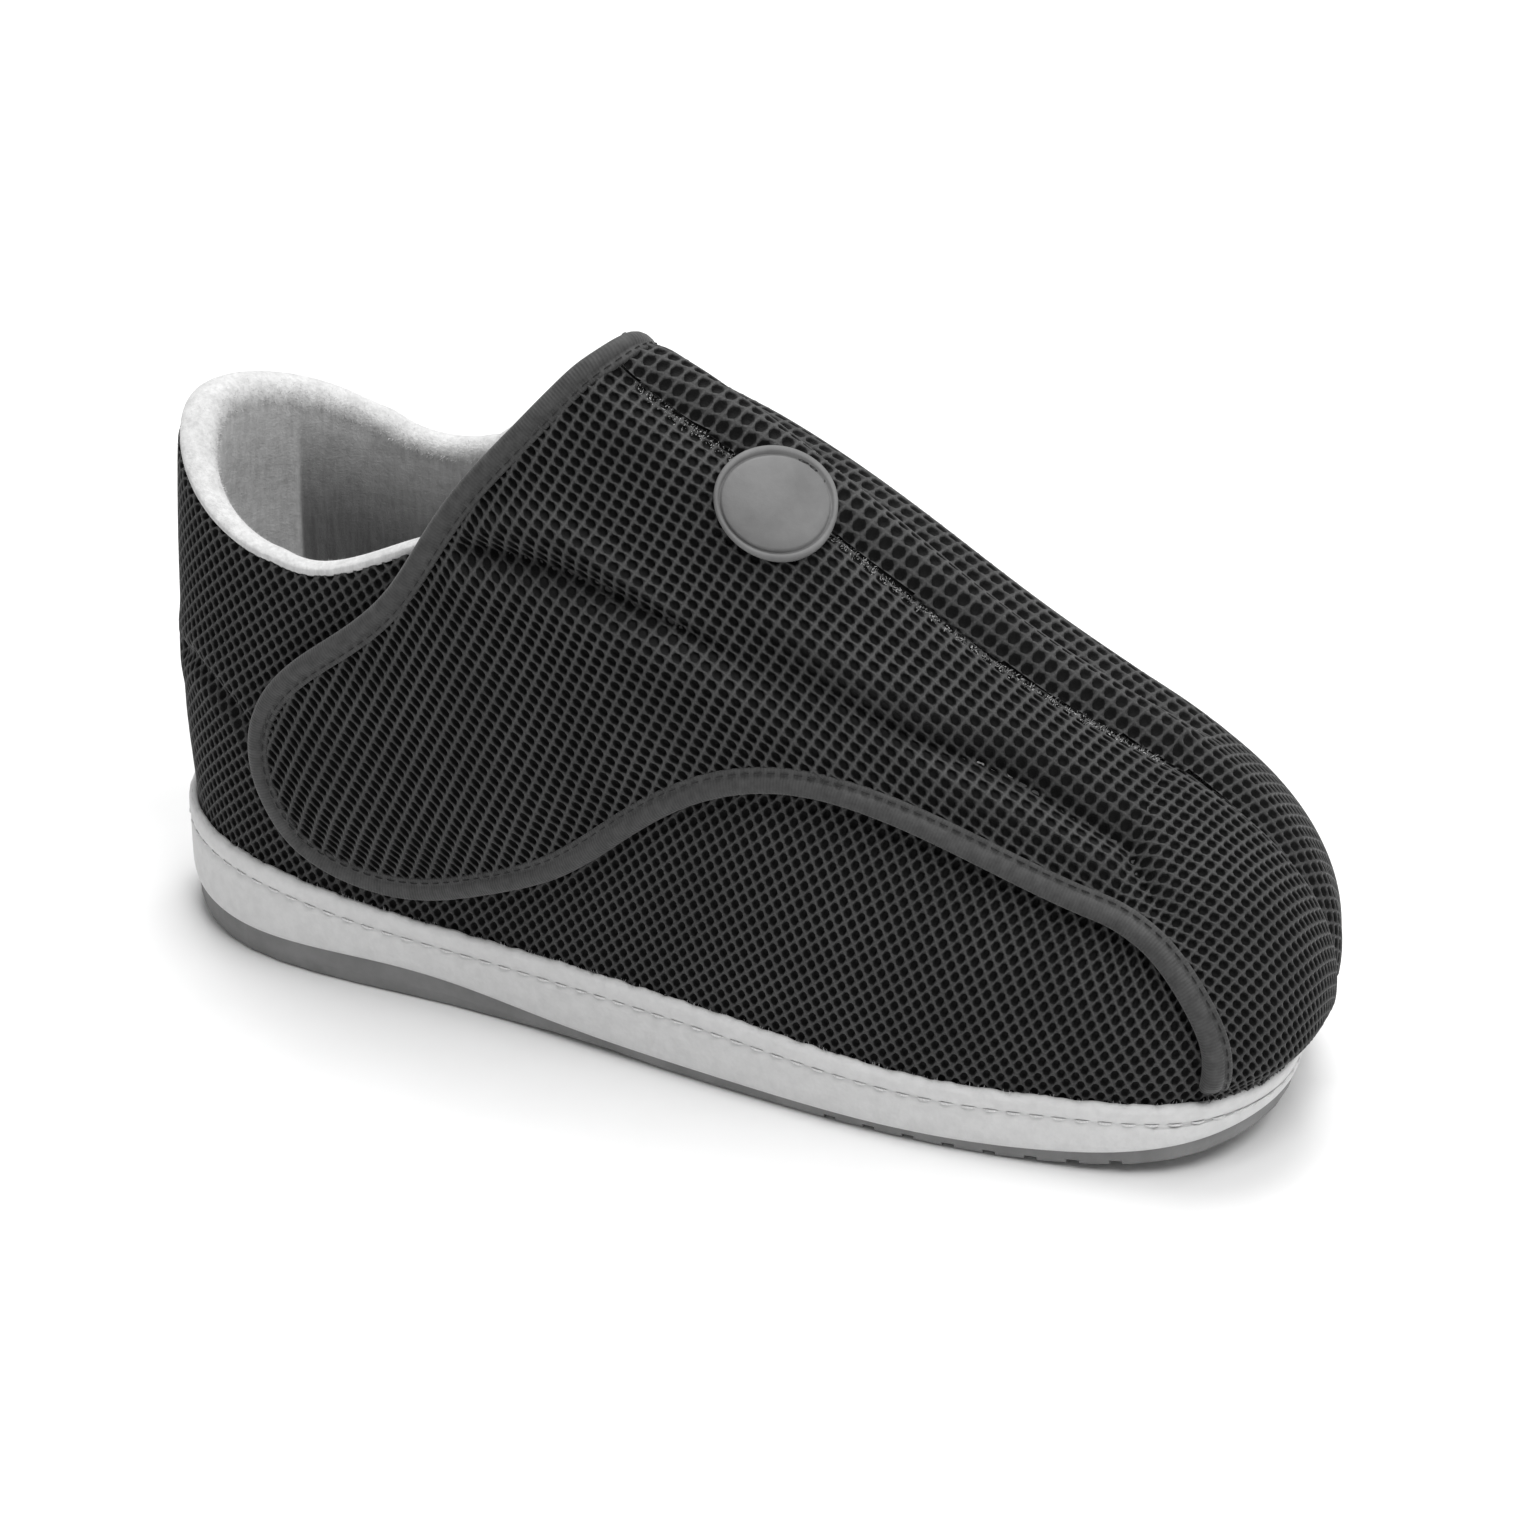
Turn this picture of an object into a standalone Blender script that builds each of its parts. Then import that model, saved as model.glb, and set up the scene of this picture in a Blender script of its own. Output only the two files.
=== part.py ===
"""A post operative shoe for the right foot: a padded mesh upper with a wide wrap-over flap on a wrapped sole.

Metres. +X runs from heel to toe, -Y is the outer side, +Z is up, and z = 0 is the floor. The origin lies on
the floor under the heel. Ribs rise from the feather line, where the upper meets the midsole, to the instep
seam. A place on the upper is a walk, the share of the way round the feather line from the heel's back by the
outer side, and a share of the way up the rib that starts there.
"""
import bmesh
import bpy
import numpy as np
from mathutils import Vector
from mathutils.geometry import delaunay_2d_cdt

# Main sizes of the shoe
SOLE_LENGTH = 0.2735
BALL_HALF_WIDTH = 0.051
HEEL_STACK = 0.030
INSTEP_RISE = 0.138
HEEL_TO_ORIGIN = 0.0383
CLEARANCE = 0.0003

# Walls
PAD_WALL = 0.005
TOE_WALL = 0.0017
RIM_SWELL = 0.0035
RIM_DEPTH = 0.016
FLAP_WALL = 0.0035
FLAP_SEAT = 0.0006
SEAM_DIP = 0.0016
SEAM_HALF = 0.0035
PANEL_PUFF = 0.0018
PUFF_REACH = 0.013
BINDING_WIDTH = 0.0050
BINDING_PROUD = 0.0006
WRAP_WALL = 0.0016
WRAP_LIP = 0.0035
WRAP_STEP = 0.0004
STITCH_DROP = 0.0050
INSOLE_THICKNESS = 0.0040

# Sole bottom
TOE_SPRING = 0.0083
HEEL_BEVEL = 0.0022
ARCH_LIFT = 0.0010
OUTSOLE_TUCK = 0.0016
GROOVE_DEPTH = 0.0015
GROOVE_WIDTH = 0.0028
GROOVE_PITCH = 0.0092
FOREFOOT_GROOVES = 8
HEEL_GROOVES = 5
HEEL_GROOVE_PITCH = 0.0085

# Badge
BADGE_LENGTH = 0.0296
BADGE_WIDTH = 0.0202
BADGE_TURN = 0.5
BADGE_THICKNESS = 0.0022
BADGE_RIM = 0.0014
BADGE_ALONG = 0.5494
BADGE_OFF_SEAM = 0.0045

# The sole's outline in shares of its length and its half width, from the heel's back by the outer side.
OUTLINE = (
    # along, across
    (0.000, 0.00), (0.027, -0.36), (0.081, -0.59), (0.160, -0.70), (0.295, -0.735), (0.437, -0.83),
    (0.580, -0.94), (0.712, -1.00), (0.834, -0.97), (0.944, -0.80), (0.990, -0.38), (0.988, 0.05),
    (0.976, 0.41), (0.925, 0.75), (0.810, 0.94), (0.660, 0.92), (0.508, 0.80), (0.366, 0.71),
    (0.219, 0.70), (0.100, 0.65), (0.030, 0.40),
)
# Heights of the sole's layers, in shares of the heel stack.
SOLE_LAYERS = (
    # along, outsole top, midsole top
    (0.00, 0.32, 0.840),
    (0.09, 0.26, 0.780),
    (0.25, 0.27, 0.600),
    (0.38, 0.16, 0.560),
    (0.54, 0.11, 0.540),
    (0.72, 0.10, 0.460),
    (0.86, 0.18, 0.505),
    (1.00, 0.42, 0.530),
)
# Where the ground line leaves the floor, in shares of the length.
HEEL_BEVEL_END = 0.07
ARCH = 0.33, 0.52
SPRING_START = 0.76
# Cross sections of the upper. Heights are shares of the instep's rise over the midsole, bulges and the seam's
# place across are shares of the half width, and the fullnesses shape the rib's two halves.
SECTIONS = (
    # along, seam height, seam across, cross slope, side fullness, roof fullness, outer bulge, inner bulge
    (0.14, 1.400, -0.02, 0.00, 0.52, 0.80, 0.05, 0.05),
    (0.27, 1.215, -0.10, 0.20, 0.52, 0.60, 0.05, 0.05),
    (0.39, 1.025, -0.20, 0.64, 0.46, 0.46, 0.06, 0.06),
    (0.50, 0.900, -0.25, 0.72, 0.40, 0.48, 0.08, 0.10),
    (0.64, 0.733, -0.25, 0.68, 0.38, 0.52, 0.12, 0.14),
    (0.77, 0.562, -0.17, 0.44, 0.42, 0.55, 0.17, 0.18),
    (0.86, 0.450, -0.06, 0.22, 0.48, 0.58, 0.20, 0.20),
)
# The flap's free edge, from the instep's peak round the rear lobe and along the outer side to the toe.
FLAP_EDGE = (
    # walk, rise
    (0.206, 1.040), (0.190, 0.965), (0.175, 0.885), (0.161, 0.805), (0.149, 0.713), (0.136, 0.607),
    (0.117, 0.510), (0.097, 0.420), (0.086, 0.344), (0.0815, 0.262), (0.085, 0.178), (0.094, 0.112),
    (0.113, 0.082), (0.142, 0.092), (0.170, 0.145), (0.199, 0.215), (0.226, 0.320), (0.252, 0.407),
    (0.286, 0.456), (0.318, 0.442), (0.354, 0.387), (0.392, 0.318), (0.418, 0.265), (0.432, 0.188),
    (0.438, 0.105), (0.4375, 0.055),
)
# The lower quilting seam of the flap.
QUILT_SEAM = (
    # walk, rise
    (0.1500, 0.720), (0.190, 0.707), (0.235, 0.655), (0.280, 0.605), (0.312, 0.555), (0.354, 0.487),
    (0.382, 0.417), (0.404, 0.357), (0.426, 0.260),
)
# The upper's own top edge: collar, outer quarter under the flap, and the inner side behind the instep's peak.
COLLAR = (
    # walk, share
    (-0.202, 1.000), (-0.199, 0.830), (-0.193, 0.700), (-0.183, 0.590), (-0.168, 0.490), (-0.150, 0.415),
    (-0.135, 0.364),
    (-0.117, 0.328), (-0.096, 0.310), (-0.069, 0.323), (-0.034, 0.343), (0.000, 0.345), (0.034, 0.315),
    (0.069, 0.285), (0.097, 0.285), (0.116, 0.314), (0.135, 0.364), (0.160, 0.440), (0.200, 0.500),
    (0.260, 0.575), (0.330, 0.700), (0.390, 0.740), (0.440, 0.680), (0.510, 0.600),
)
FLAP_END = 0.510
VAMP_REAR = 0.798


def spline(knots, rows, closed=False):
    """A cubic through rows of values at rising knots, natural at its ends or closed on itself."""
    x = np.asarray(knots, float)
    y = np.asarray(rows, float).reshape(len(x), -1)
    count = len(x)
    step = np.diff(x)
    slope = np.diff(y, axis=0) / step[:, None]
    matrix = np.zeros((count, count))
    right = np.zeros_like(y)
    for i in range(1, count - 1):
        matrix[i, i - 1:i + 2] = step[i - 1], 2 * (step[i - 1] + step[i]), step[i]
        right[i] = 6 * (slope[i] - slope[i - 1])
    matrix[0, 0] = 1.0
    matrix[-1, -1] = 1.0
    if closed:
        matrix[0, :2] = 2 * (step[0] + step[-1]), step[0]
        matrix[0, -2] = step[-1]
        right[0] = 6 * (slope[0] - slope[-1])
        matrix[-1, 0] = -1.0
    bend = np.linalg.solve(matrix, right)

    def at(values):
        u = np.atleast_1d(np.asarray(values, float))
        if closed:
            u = x[0] + (u - x[0]) % (x[-1] - x[0])
        i = np.clip(np.searchsorted(x, u, side="right") - 1, 0, count - 2)
        d = step[i][:, None]
        w = (u - x[i])[:, None]
        return (y[i] + w * (slope[i] - d * (2 * bend[i] + bend[i + 1]) / 6)
                + w ** 2 * bend[i] / 2 + w ** 3 * (bend[i + 1] - bend[i]) / (6 * d))
    return at


def smooth(value):
    """A soft step from 0 to 1."""
    v = np.clip(value, 0.0, 1.0)
    return v * v * (3 - 2 * v)


def place(along):
    """The X of a share of the sole's length."""
    return np.asarray(along, float) * SOLE_LENGTH - HEEL_TO_ORIGIN


def unit(rows):
    return rows / np.linalg.norm(rows, axis=1)[:, None]


def chord_spline(points, closed=False):
    """A spline through points, run from 0 to 1 by its chord length."""
    p = np.asarray(points, float)
    run = np.r_[0.0, np.cumsum(np.linalg.norm(np.diff(p, axis=0), axis=1))]
    return spline(run / run[-1], p, closed)


def outline_points():
    rows = np.array(OUTLINE + OUTLINE[:1])
    return np.column_stack([place(rows[:, 0]), rows[:, 1] * BALL_HALF_WIDTH])


outline = chord_spline(outline_points(), closed=True)
layers = spline(place([row[0] for row in SOLE_LAYERS]),
                [[share * HEEL_STACK for share in row[1:]] for row in SOLE_LAYERS])
sections = spline(place([row[0] for row in SECTIONS]),
                  [(row[1] * INSTEP_RISE, row[2] * BALL_HALF_WIDTH, row[3], row[4], row[5],
                    row[6] * BALL_HALF_WIDTH, row[7] * BALL_HALF_WIDTH) for row in SECTIONS])
HEEL_POLE = float(place(SECTIONS[0][0]))
TOE_POLE = float(place(SECTIONS[-1][0]))
_roof = [float(layers([x])[0, 1] + sections([x])[0, 0]) for x in (TOE_POLE - 0.001, TOE_POLE)]
TOE_SLOPE = (_roof[1] - _roof[0]) / 0.001
FEATHER_INSET = WRAP_WALL + CLEARANCE
FLAP_LIFT = FLAP_WALL + CLEARANCE

_walk_table = np.linspace(0.0, 1.0, 2001)
_outline_table = outline(_walk_table)
_tip = int(np.argmax(_outline_table[:, 0]))
TOE_WALK = float(_walk_table[_tip])


def outer_walk(x):
    """The walk at which the outer side reaches x."""
    return np.interp(x, _outline_table[:_tip + 1, 0], _walk_table[:_tip + 1])


def inner_walk(x):
    """The walk at which the inner side reaches x."""
    return np.interp(x, _outline_table[_tip:, 0][::-1], _walk_table[_tip:][::-1])


def inset_outline(walk, inset):
    """The outline moved inwards, or outwards where the inset is below zero."""
    step = 1e-4
    ahead = unit(outline(np.asarray(walk) + step) - outline(np.asarray(walk) - step))
    inwards = np.column_stack([-ahead[:, 1], ahead[:, 0]])
    return outline(walk) + inwards * np.reshape(inset, (-1, 1))


def outsole_top(x):
    return layers(x)[:, 0]


def midsole_top(x):
    return layers(x)[:, 1]


def ground(x):
    """The height of the sole's underside: flat at the heel and the ball, lifted at both ends and the arch."""
    share = (np.asarray(x, float) + HEEL_TO_ORIGIN) / SOLE_LENGTH
    toe = np.clip((share - SPRING_START) / (1 - SPRING_START), 0, None)
    heel = np.clip((HEEL_BEVEL_END - share) / HEEL_BEVEL_END, 0, None)
    arch = np.clip((share - ARCH[0]) / (ARCH[1] - ARCH[0]), 0, 1)
    return TOE_SPRING * toe ** 2 + HEEL_BEVEL * heel ** 2 + ARCH_LIFT * np.sin(np.pi * arch) ** 2


def rib(walk, share):
    """Points of the last's surface, with no skin over it."""
    feather = inset_outline(walk, np.full(len(walk), FEATHER_INSET))
    x = np.clip(feather[:, 0], HEEL_POLE, TOE_POLE)
    rise, ridge, cross, side, roof, outer, inner = sections(x).T
    low = midsole_top(feather[:, 0])
    top = midsole_top(x) + rise
    foot = np.column_stack([x, ridge])
    reach = np.linalg.norm(feather - foot, axis=1)
    out = (feather - foot) / reach[:, None]
    ahead = np.where(out[:, 0] > 0, TOE_SLOPE * out[:, 0], 0.0)
    bulge = np.where(out[:, 1] < 0, outer, inner)
    tip = top + reach * roof * (ahead + out[:, 1] * cross)
    b0, b1 = (1 - share) ** 3, 3 * (1 - share) ** 2 * share
    b2, b3 = 3 * (1 - share) * share ** 2, share ** 3
    across = b0 * reach + b1 * (reach + bulge) + b2 * reach * roof
    height = b0 * low + b1 * (low + side * (top - low)) + b2 * tip + b3 * top
    return np.column_stack([foot + out * across[:, None], height])


def last(walk, share, skin=0.0):
    """Points at a skin's distance over the last's surface."""
    walk, share, skin = np.broadcast_arrays(*(np.atleast_1d(np.asarray(v, float)) for v in (walk, share, skin)))
    return rib(walk, share) + normal(walk, share) * skin[:, None]


def slopes(walk, share):
    """How the surface moves with walk and with share."""
    inner_share = np.clip(share, 0.0, 0.995)
    along = (rib(walk + 5e-4, inner_share) - rib(walk - 5e-4, inner_share)) / 1e-3
    up = (rib(walk, inner_share + 1e-3) - rib(walk, inner_share - 1e-3)) / 2e-3
    return along, up


def normal(walk, share):
    along, up = slopes(walk, share)
    return unit(np.cross(along, up))


def share_at_rise(walk, rise):
    """How far up its rib a height over the midsole lies. The rise is in shares of the instep's rise."""
    walk, rise = np.broadcast_arrays(*(np.atleast_1d(np.asarray(v, float)) for v in (walk, rise)))
    steps = np.linspace(0.0, 1.0, 101)
    grid = rib(np.repeat(walk, len(steps)), np.tile(steps, len(walk)))[:, 2].reshape(len(walk), -1)
    return np.array([np.interp(r * INSTEP_RISE, row - row[0], steps) for r, row in zip(rise, grid)])


def lip_share(walk):
    """The share at which the wrap's lip ends."""
    return share_at_rise(walk, np.full(np.shape(walk), (WRAP_LIP + CLEARANCE) / INSTEP_RISE))


def shifted(walk, share, distance):
    """A curve on the surface, moved sideways over it by a distance to the left of its run."""
    along, up = slopes(walk, share)
    points = rib(walk, share)
    run = unit(np.gradient(points, axis=0))
    left = unit(np.cross(unit(np.cross(along, up)), run))
    a, b, c = (along * along).sum(1), (along * up).sum(1), (up * up).sum(1)
    p, q = (along * left).sum(1) * distance, (up * left).sum(1) * distance
    det = a * c - b * b
    return walk + (p * c - q * b) / det, share + (q * a - p * b) / det


EDGE_STRETCH = 4.5
SEAM_SHARE = 0.993
NEAR_POLE = 0.970
FLAP_END_STEP = 0.0005
FLAP_PITCH = 0.0075


def flap_edge(count):
    """Walks and shares along the flap's free edge."""
    curve = chord_spline(np.array(FLAP_EDGE) * (EDGE_STRETCH, 1.0))
    walk, rise = (curve(np.linspace(0.0, 1.0, count)) / (EDGE_STRETCH, 1.0)).T
    return walk, share_at_rise(walk, rise)


def new_material(name, colour, roughness):
    material = bpy.data.materials.new(name)
    material.use_nodes = True
    shader = material.node_tree.nodes["Principled BSDF"]
    shader.inputs["Base Color"].default_value = (*colour, 1.0)
    shader.inputs["Roughness"].default_value = roughness
    shader.inputs["Metallic"].default_value = 0.0
    return material


def add_object(name, points, faces, material, collection):
    mesh = bpy.data.meshes.new(name)
    mesh.from_pydata([tuple(p) for p in points], [], faces)
    work = bmesh.new()
    work.from_mesh(mesh)
    bmesh.ops.remove_doubles(work, verts=work.verts, dist=1e-6)
    bmesh.ops.recalc_face_normals(work, faces=work.faces)
    work.to_mesh(mesh)
    work.free()
    mesh.materials.append(material)
    mesh.shade_smooth()
    mesh.set_sharp_from_angle(angle=0.8)
    obj = bpy.data.objects.new(name, mesh)
    collection.objects.link(obj)
    return obj


def grid_faces(columns, rows, close_columns, close_rows):
    """Quads of a grid whose points run column by column."""
    faces = []
    for c in range(columns if close_columns else columns - 1):
        for r in range(rows if close_rows else rows - 1):
            d, s = (c + 1) % columns, (r + 1) % rows
            faces.append((c * rows + r, d * rows + r, d * rows + s, c * rows + s))
    return faces


def sole_walks(half):
    """Walks round the outline, whose outer and inner halves share their X."""
    share = 0.5 - 0.5 * np.cos(np.linspace(0.0, np.pi, half + 1))
    heel, toe = _outline_table[0, 0], _outline_table[_tip, 0]
    x = heel + (toe - heel) * share
    return np.r_[0.0, outer_walk(x[1:-1]), TOE_WALK, inner_walk(x[1:-1])[::-1]]


def sole_ring(walk, inset, height):
    """A ring of the outline at an inset, with a height worked out from X."""
    plan = inset_outline(walk, np.full(len(walk), inset))
    return np.column_stack([plan, height(plan[:, 0])])


def sole_solid(name, rings, material, collection):
    """Rings lofted from the bottom up, closed by a ladder of faces across the first and the last."""
    count = len(rings[0])
    half = count // 2
    faces = [tuple(reversed(face)) for face in grid_faces(len(rings), count, False, True)]
    for base, flip in ((0, False), ((len(rings) - 1) * count, True)):
        for i in range(half):
            quad = [i, i + 1, (count - i - 1) % count, (count - i) % count]
            face = [base + k for k in dict.fromkeys(quad)]
            faces.append(tuple(reversed(face)) if flip else tuple(face))
    return add_object(name, np.vstack(rings), faces, material, collection)


def outsole(collection, cutters):
    walk = sole_walks(30)
    side = (
        # share of the thickness, share of the tuck
        (0.00, 1.00), (0.12, 0.55), (0.45, 0.25), (1.00, 0.10),
    )
    rings = []
    for share, tuck in side:
        rings.append(sole_ring(walk, WRAP_STEP + tuck * OUTSOLE_TUCK,
                               lambda x, s=share: ground(x) + s * (outsole_top(x) - ground(x))))
    body = sole_solid("outsole", rings, new_material("rubber", (0.13, 0.13, 0.135), 0.7), collection)
    first = place(SPRING_START) - 0.42 * FOREFOOT_GROOVES * GROOVE_PITCH
    for i in range(FOREFOOT_GROOVES):
        add_groove(f"groove_ball_{i}", first + i * GROOVE_PITCH, 4 * BALL_HALF_WIDTH, body, cutters)
    for i in range(HEEL_GROOVES):
        x = (i - HEEL_GROOVES / 2) * HEEL_GROOVE_PITCH + HEEL_GROOVE_PITCH * (i >= HEEL_GROOVES / 2)
        add_groove(f"groove_heel_{i}", x, 0.8 * BALL_HALF_WIDTH, body, cutters)
    return body


def add_groove(name, x, width, body, cutters):
    """Cuts one cross groove into the sole's underside."""
    bpy.ops.mesh.primitive_cube_add(size=1.0, location=(x, 0.0, ground([x])[0] + GROOVE_DEPTH - HEEL_STACK / 2))
    cutter = bpy.context.object
    cutter.name = name
    cutter.scale = (GROOVE_WIDTH, width, HEEL_STACK)
    cutter.hide_render = True
    cutter.display_type = "WIRE"
    for owner in list(cutter.users_collection):
        owner.objects.unlink(cutter)
    cutters.objects.link(cutter)
    cut = body.modifiers.new(name, "BOOLEAN")
    cut.operation = "DIFFERENCE"
    cut.solver = "EXACT"
    cut.object = cutter


def midsole(collection):
    walk = sole_walks(32)
    inset = WRAP_WALL + CLEARANCE
    rings = [sole_ring(walk, inset, lambda x: outsole_top(x) + CLEARANCE),
             sole_ring(walk, inset, lambda x: midsole_top(x) - CLEARANCE)]
    return sole_solid("midsole", rings, new_material("foam", (0.55, 0.55, 0.54), 0.9), collection)


def platform_wrap(collection):
    """A band round the midsole, with a step at its stitch line and a lip up the upper's lower edge."""
    walk = sole_walks(32)
    tucked = WRAP_WALL
    profile = []
    for share, bulge in ((0.0, 0.0), (0.35, 0.5), (0.7, 0.5)):
        profile.append(sole_ring(walk, -bulge * WRAP_STEP, lambda x, s=share: wrap_height(x, s)))
    profile.append(sole_ring(walk, -0.5 * WRAP_STEP, lambda x: midsole_top(x) + WRAP_LIP - STITCH_DROP))
    outer = FEATHER_INSET + WRAP_STEP
    lip = share_at_rise(walk, WRAP_LIP / INSTEP_RISE)
    profile.append(last(walk, 0.35 * lip, outer))
    profile.append(last(walk, 0.9 * lip, outer - 0.15 * WRAP_WALL))
    profile.append(last(walk, lip, CLEARANCE + 0.5 * WRAP_WALL))
    profile.append(last(walk, 0.9 * lip, CLEARANCE))
    profile.append(last(walk, 0.02 * lip, CLEARANCE))
    profile.append(sole_ring(walk, tucked, lambda x: wrap_height(x, 0.75)))
    profile.append(sole_ring(walk, tucked, lambda x: wrap_height(x, 0.0)))
    points = np.vstack(profile)
    faces = grid_faces(len(profile), len(walk), True, True)
    return add_object("platform_wrap", points, faces, new_material("wrap", (0.72, 0.72, 0.71), 0.75), collection)


def wrap_height(x, share):
    low = outsole_top(x) + CLEARANCE
    return low + share * (midsole_top(x) - low)


def under_wall(walk):
    """The upper's thickness inside the last's surface: padded quarters, thin round the toe."""
    turn = walk % 1.0
    outer_fade = smooth((turn - 0.30) / 0.12)
    inner_fade = smooth((0.88 - turn) / 0.16)
    return PAD_WALL + (TOE_WALL - PAD_WALL) * np.minimum(outer_fade, inner_fade)


def insole(collection):
    walk = sole_walks(24)
    lift = 0.0002
    foot = last(walk, 0.0, -under_wall(walk) - CLEARANCE)[:, :2]
    chamfer = last(walk, 0.0, -under_wall(walk) - CLEARANCE - INSOLE_THICKNESS / 4)[:, :2]
    rings = []
    for plan, share in ((foot, 0.0), (foot, 0.75), (chamfer, 1.0)):
        height = midsole_top(plan[:, 0]) + lift + share * INSOLE_THICKNESS
        rings.append(np.column_stack([plan, height]))
    return sole_solid("insole", rings, new_material("insole_foam", (0.62, 0.62, 0.61), 0.95), collection)


def vamp_lift(walk, share):
    """How far the inner side stands over the last, to lie level with the flap along the instep seam."""
    turn = walk % 1.0
    ramp = 0.05 + 0.45 * smooth((turn - FLAP_END) / 0.12)
    start = lip_share(walk)
    rear = 1 - smooth((turn - VAMP_REAR) / 0.10)
    rise = smooth((share - start) / ramp)
    return np.where(turn >= FLAP_END, FLAP_LIFT * rise * rear, 0.0)


def seam_dip(distance):
    """The depth of a quilting seam at a distance from it."""
    return SEAM_DIP * np.exp(-(distance / SEAM_HALF) ** 2)


def panel_puff(distance):
    """How far a padded panel swells at a distance from its seams."""
    return PANEL_PUFF * smooth(distance / PUFF_REACH)


def upper(collection):
    """One padded wall, open at the collar, along the throat under the flap, and underneath."""
    walk = np.r_[np.linspace(0.0, 0.20, 18), np.linspace(0.215, 0.42, 15),
                 np.linspace(0.435, FLAP_END - FLAP_END_STEP, 7), np.linspace(FLAP_END, 0.62, 9),
                 np.linspace(0.64, 0.78, 9), np.linspace(VAMP_REAR, 0.82, 8), np.linspace(0.83, 0.99, 14)]
    turn = np.where(walk > FLAP_END + 0.1, walk - 1.0, walk)
    collar = spline([row[0] for row in COLLAR], [row[1] for row in COLLAR])
    top = np.clip(collar(np.clip(turn, COLLAR[0][0], COLLAR[-1][0]))[:, 0], 0.0, 1.0)
    seam_side = (walk >= FLAP_END) & (walk <= VAMP_REAR)
    top = np.where(seam_side, 1.0, top)
    rounded = np.where(walk < FLAP_END, 1 - smooth((walk - 0.36) / 0.08), smooth((walk - VAMP_REAR) / 0.03))
    padded = rounded * (1 - smooth((turn - 0.20) / 0.08))
    outer_steps = np.array([0.0, 0.045, 0.10, 0.2, 0.33, 0.46, 0.60, 0.73, 0.85, 0.93, 1.0])
    inner_steps = np.array([1.0, 0.93, 0.82, 0.64, 0.44, 0.22, 0.0])
    columns = []
    for share in outer_steps:
        level = share * top
        columns.append(last(walk, level, upper_skin(walk, level, seam_side)))
    over = last(walk, top, upper_skin(walk, top, seam_side))
    under = last(walk, top, -inner_wall(walk, np.ones(len(walk)), padded))
    middle, half = (over + under) / 2, (over - under) / 2
    run = np.roll(middle, -1, axis=0) - np.roll(middle, 1, axis=0)
    crown = unit(np.cross(half, run)) * np.linalg.norm(half, axis=1)[:, None] * rounded[:, None]
    for angle in np.radians((36, 72, 108, 144)):
        columns.append(middle + half * np.cos(angle) + crown * np.sin(angle))
    for share in inner_steps:
        columns.append(last(walk, share * top, -inner_wall(walk, np.full(len(walk), share), padded)))
    points = np.vstack(columns)
    faces = grid_faces(len(columns), len(walk), True, True)
    return add_object("upper", points, faces, new_material("spacer_mesh", (0.035, 0.035, 0.037), 0.85), collection)


def upper_skin(walk, share, seam_side):
    """The upper's outside: on the last under the flap, level with the flap where the seam joins them."""
    distance = (1 - share) * np.linalg.norm(slopes(walk, np.ones(len(walk)))[1], axis=1)
    relief = (panel_puff(distance) - seam_dip(distance)) * smooth((VAMP_REAR - walk) / 0.03)
    return vamp_lift(walk, share) * (1 + np.where(seam_side, relief, 0.0) / FLAP_LIFT)


def inner_wall(walk, share, padded):
    """The upper's depth inside the last, swollen at the padded collar."""
    length = 0.10
    swell = RIM_SWELL * padded * smooth(1 - (1 - share) * length / (2 * RIM_DEPTH))
    return under_wall(walk) + swell


DEVELOP_WALKS = np.linspace(0.0, 0.60, 241)
DEVELOP_STEPS = np.linspace(0.0, 1.0, 61)


def develop_table():
    """The length down each rib from the instep seam, at even steps of share below the seam."""
    count = len(DEVELOP_STEPS)
    grid = rib(np.repeat(DEVELOP_WALKS, count), np.tile(1 - DEVELOP_STEPS, len(DEVELOP_WALKS)))
    grid = grid.reshape(len(DEVELOP_WALKS), count, 3)
    return np.concatenate([np.zeros((len(DEVELOP_WALKS), 1)),
                           np.cumsum(np.linalg.norm(np.diff(grid, axis=1), axis=2), axis=1)], axis=1)


def rib_plan(walk):
    """Each rib's foot on the instep seam, seen from above, and its direction out to the feather."""
    feather = inset_outline(walk, np.full(len(walk), FEATHER_INSET))
    x = np.clip(feather[:, 0], HEEL_POLE, TOE_POLE)
    foot = np.column_stack([x, sections(x)[:, 1]])
    return foot, unit(feather - foot)


def lengths_at(walk, table):
    index = np.interp(walk, DEVELOP_WALKS, np.arange(len(DEVELOP_WALKS)))
    low = np.minimum(index.astype(int), len(DEVELOP_WALKS) - 2)
    part = (index - low)[:, None]
    return table[low] * (1 - part) + table[low + 1] * part


def develop(walk, share, table):
    """Unrolls the upper's surface on a plane, with each rib a straight line of its own length."""
    foot, out = rib_plan(walk)
    length = [np.interp(1 - s, DEVELOP_STEPS, row) for s, row in zip(share, lengths_at(walk, table))]
    return foot + out * np.reshape(length, (-1, 1))


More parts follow.
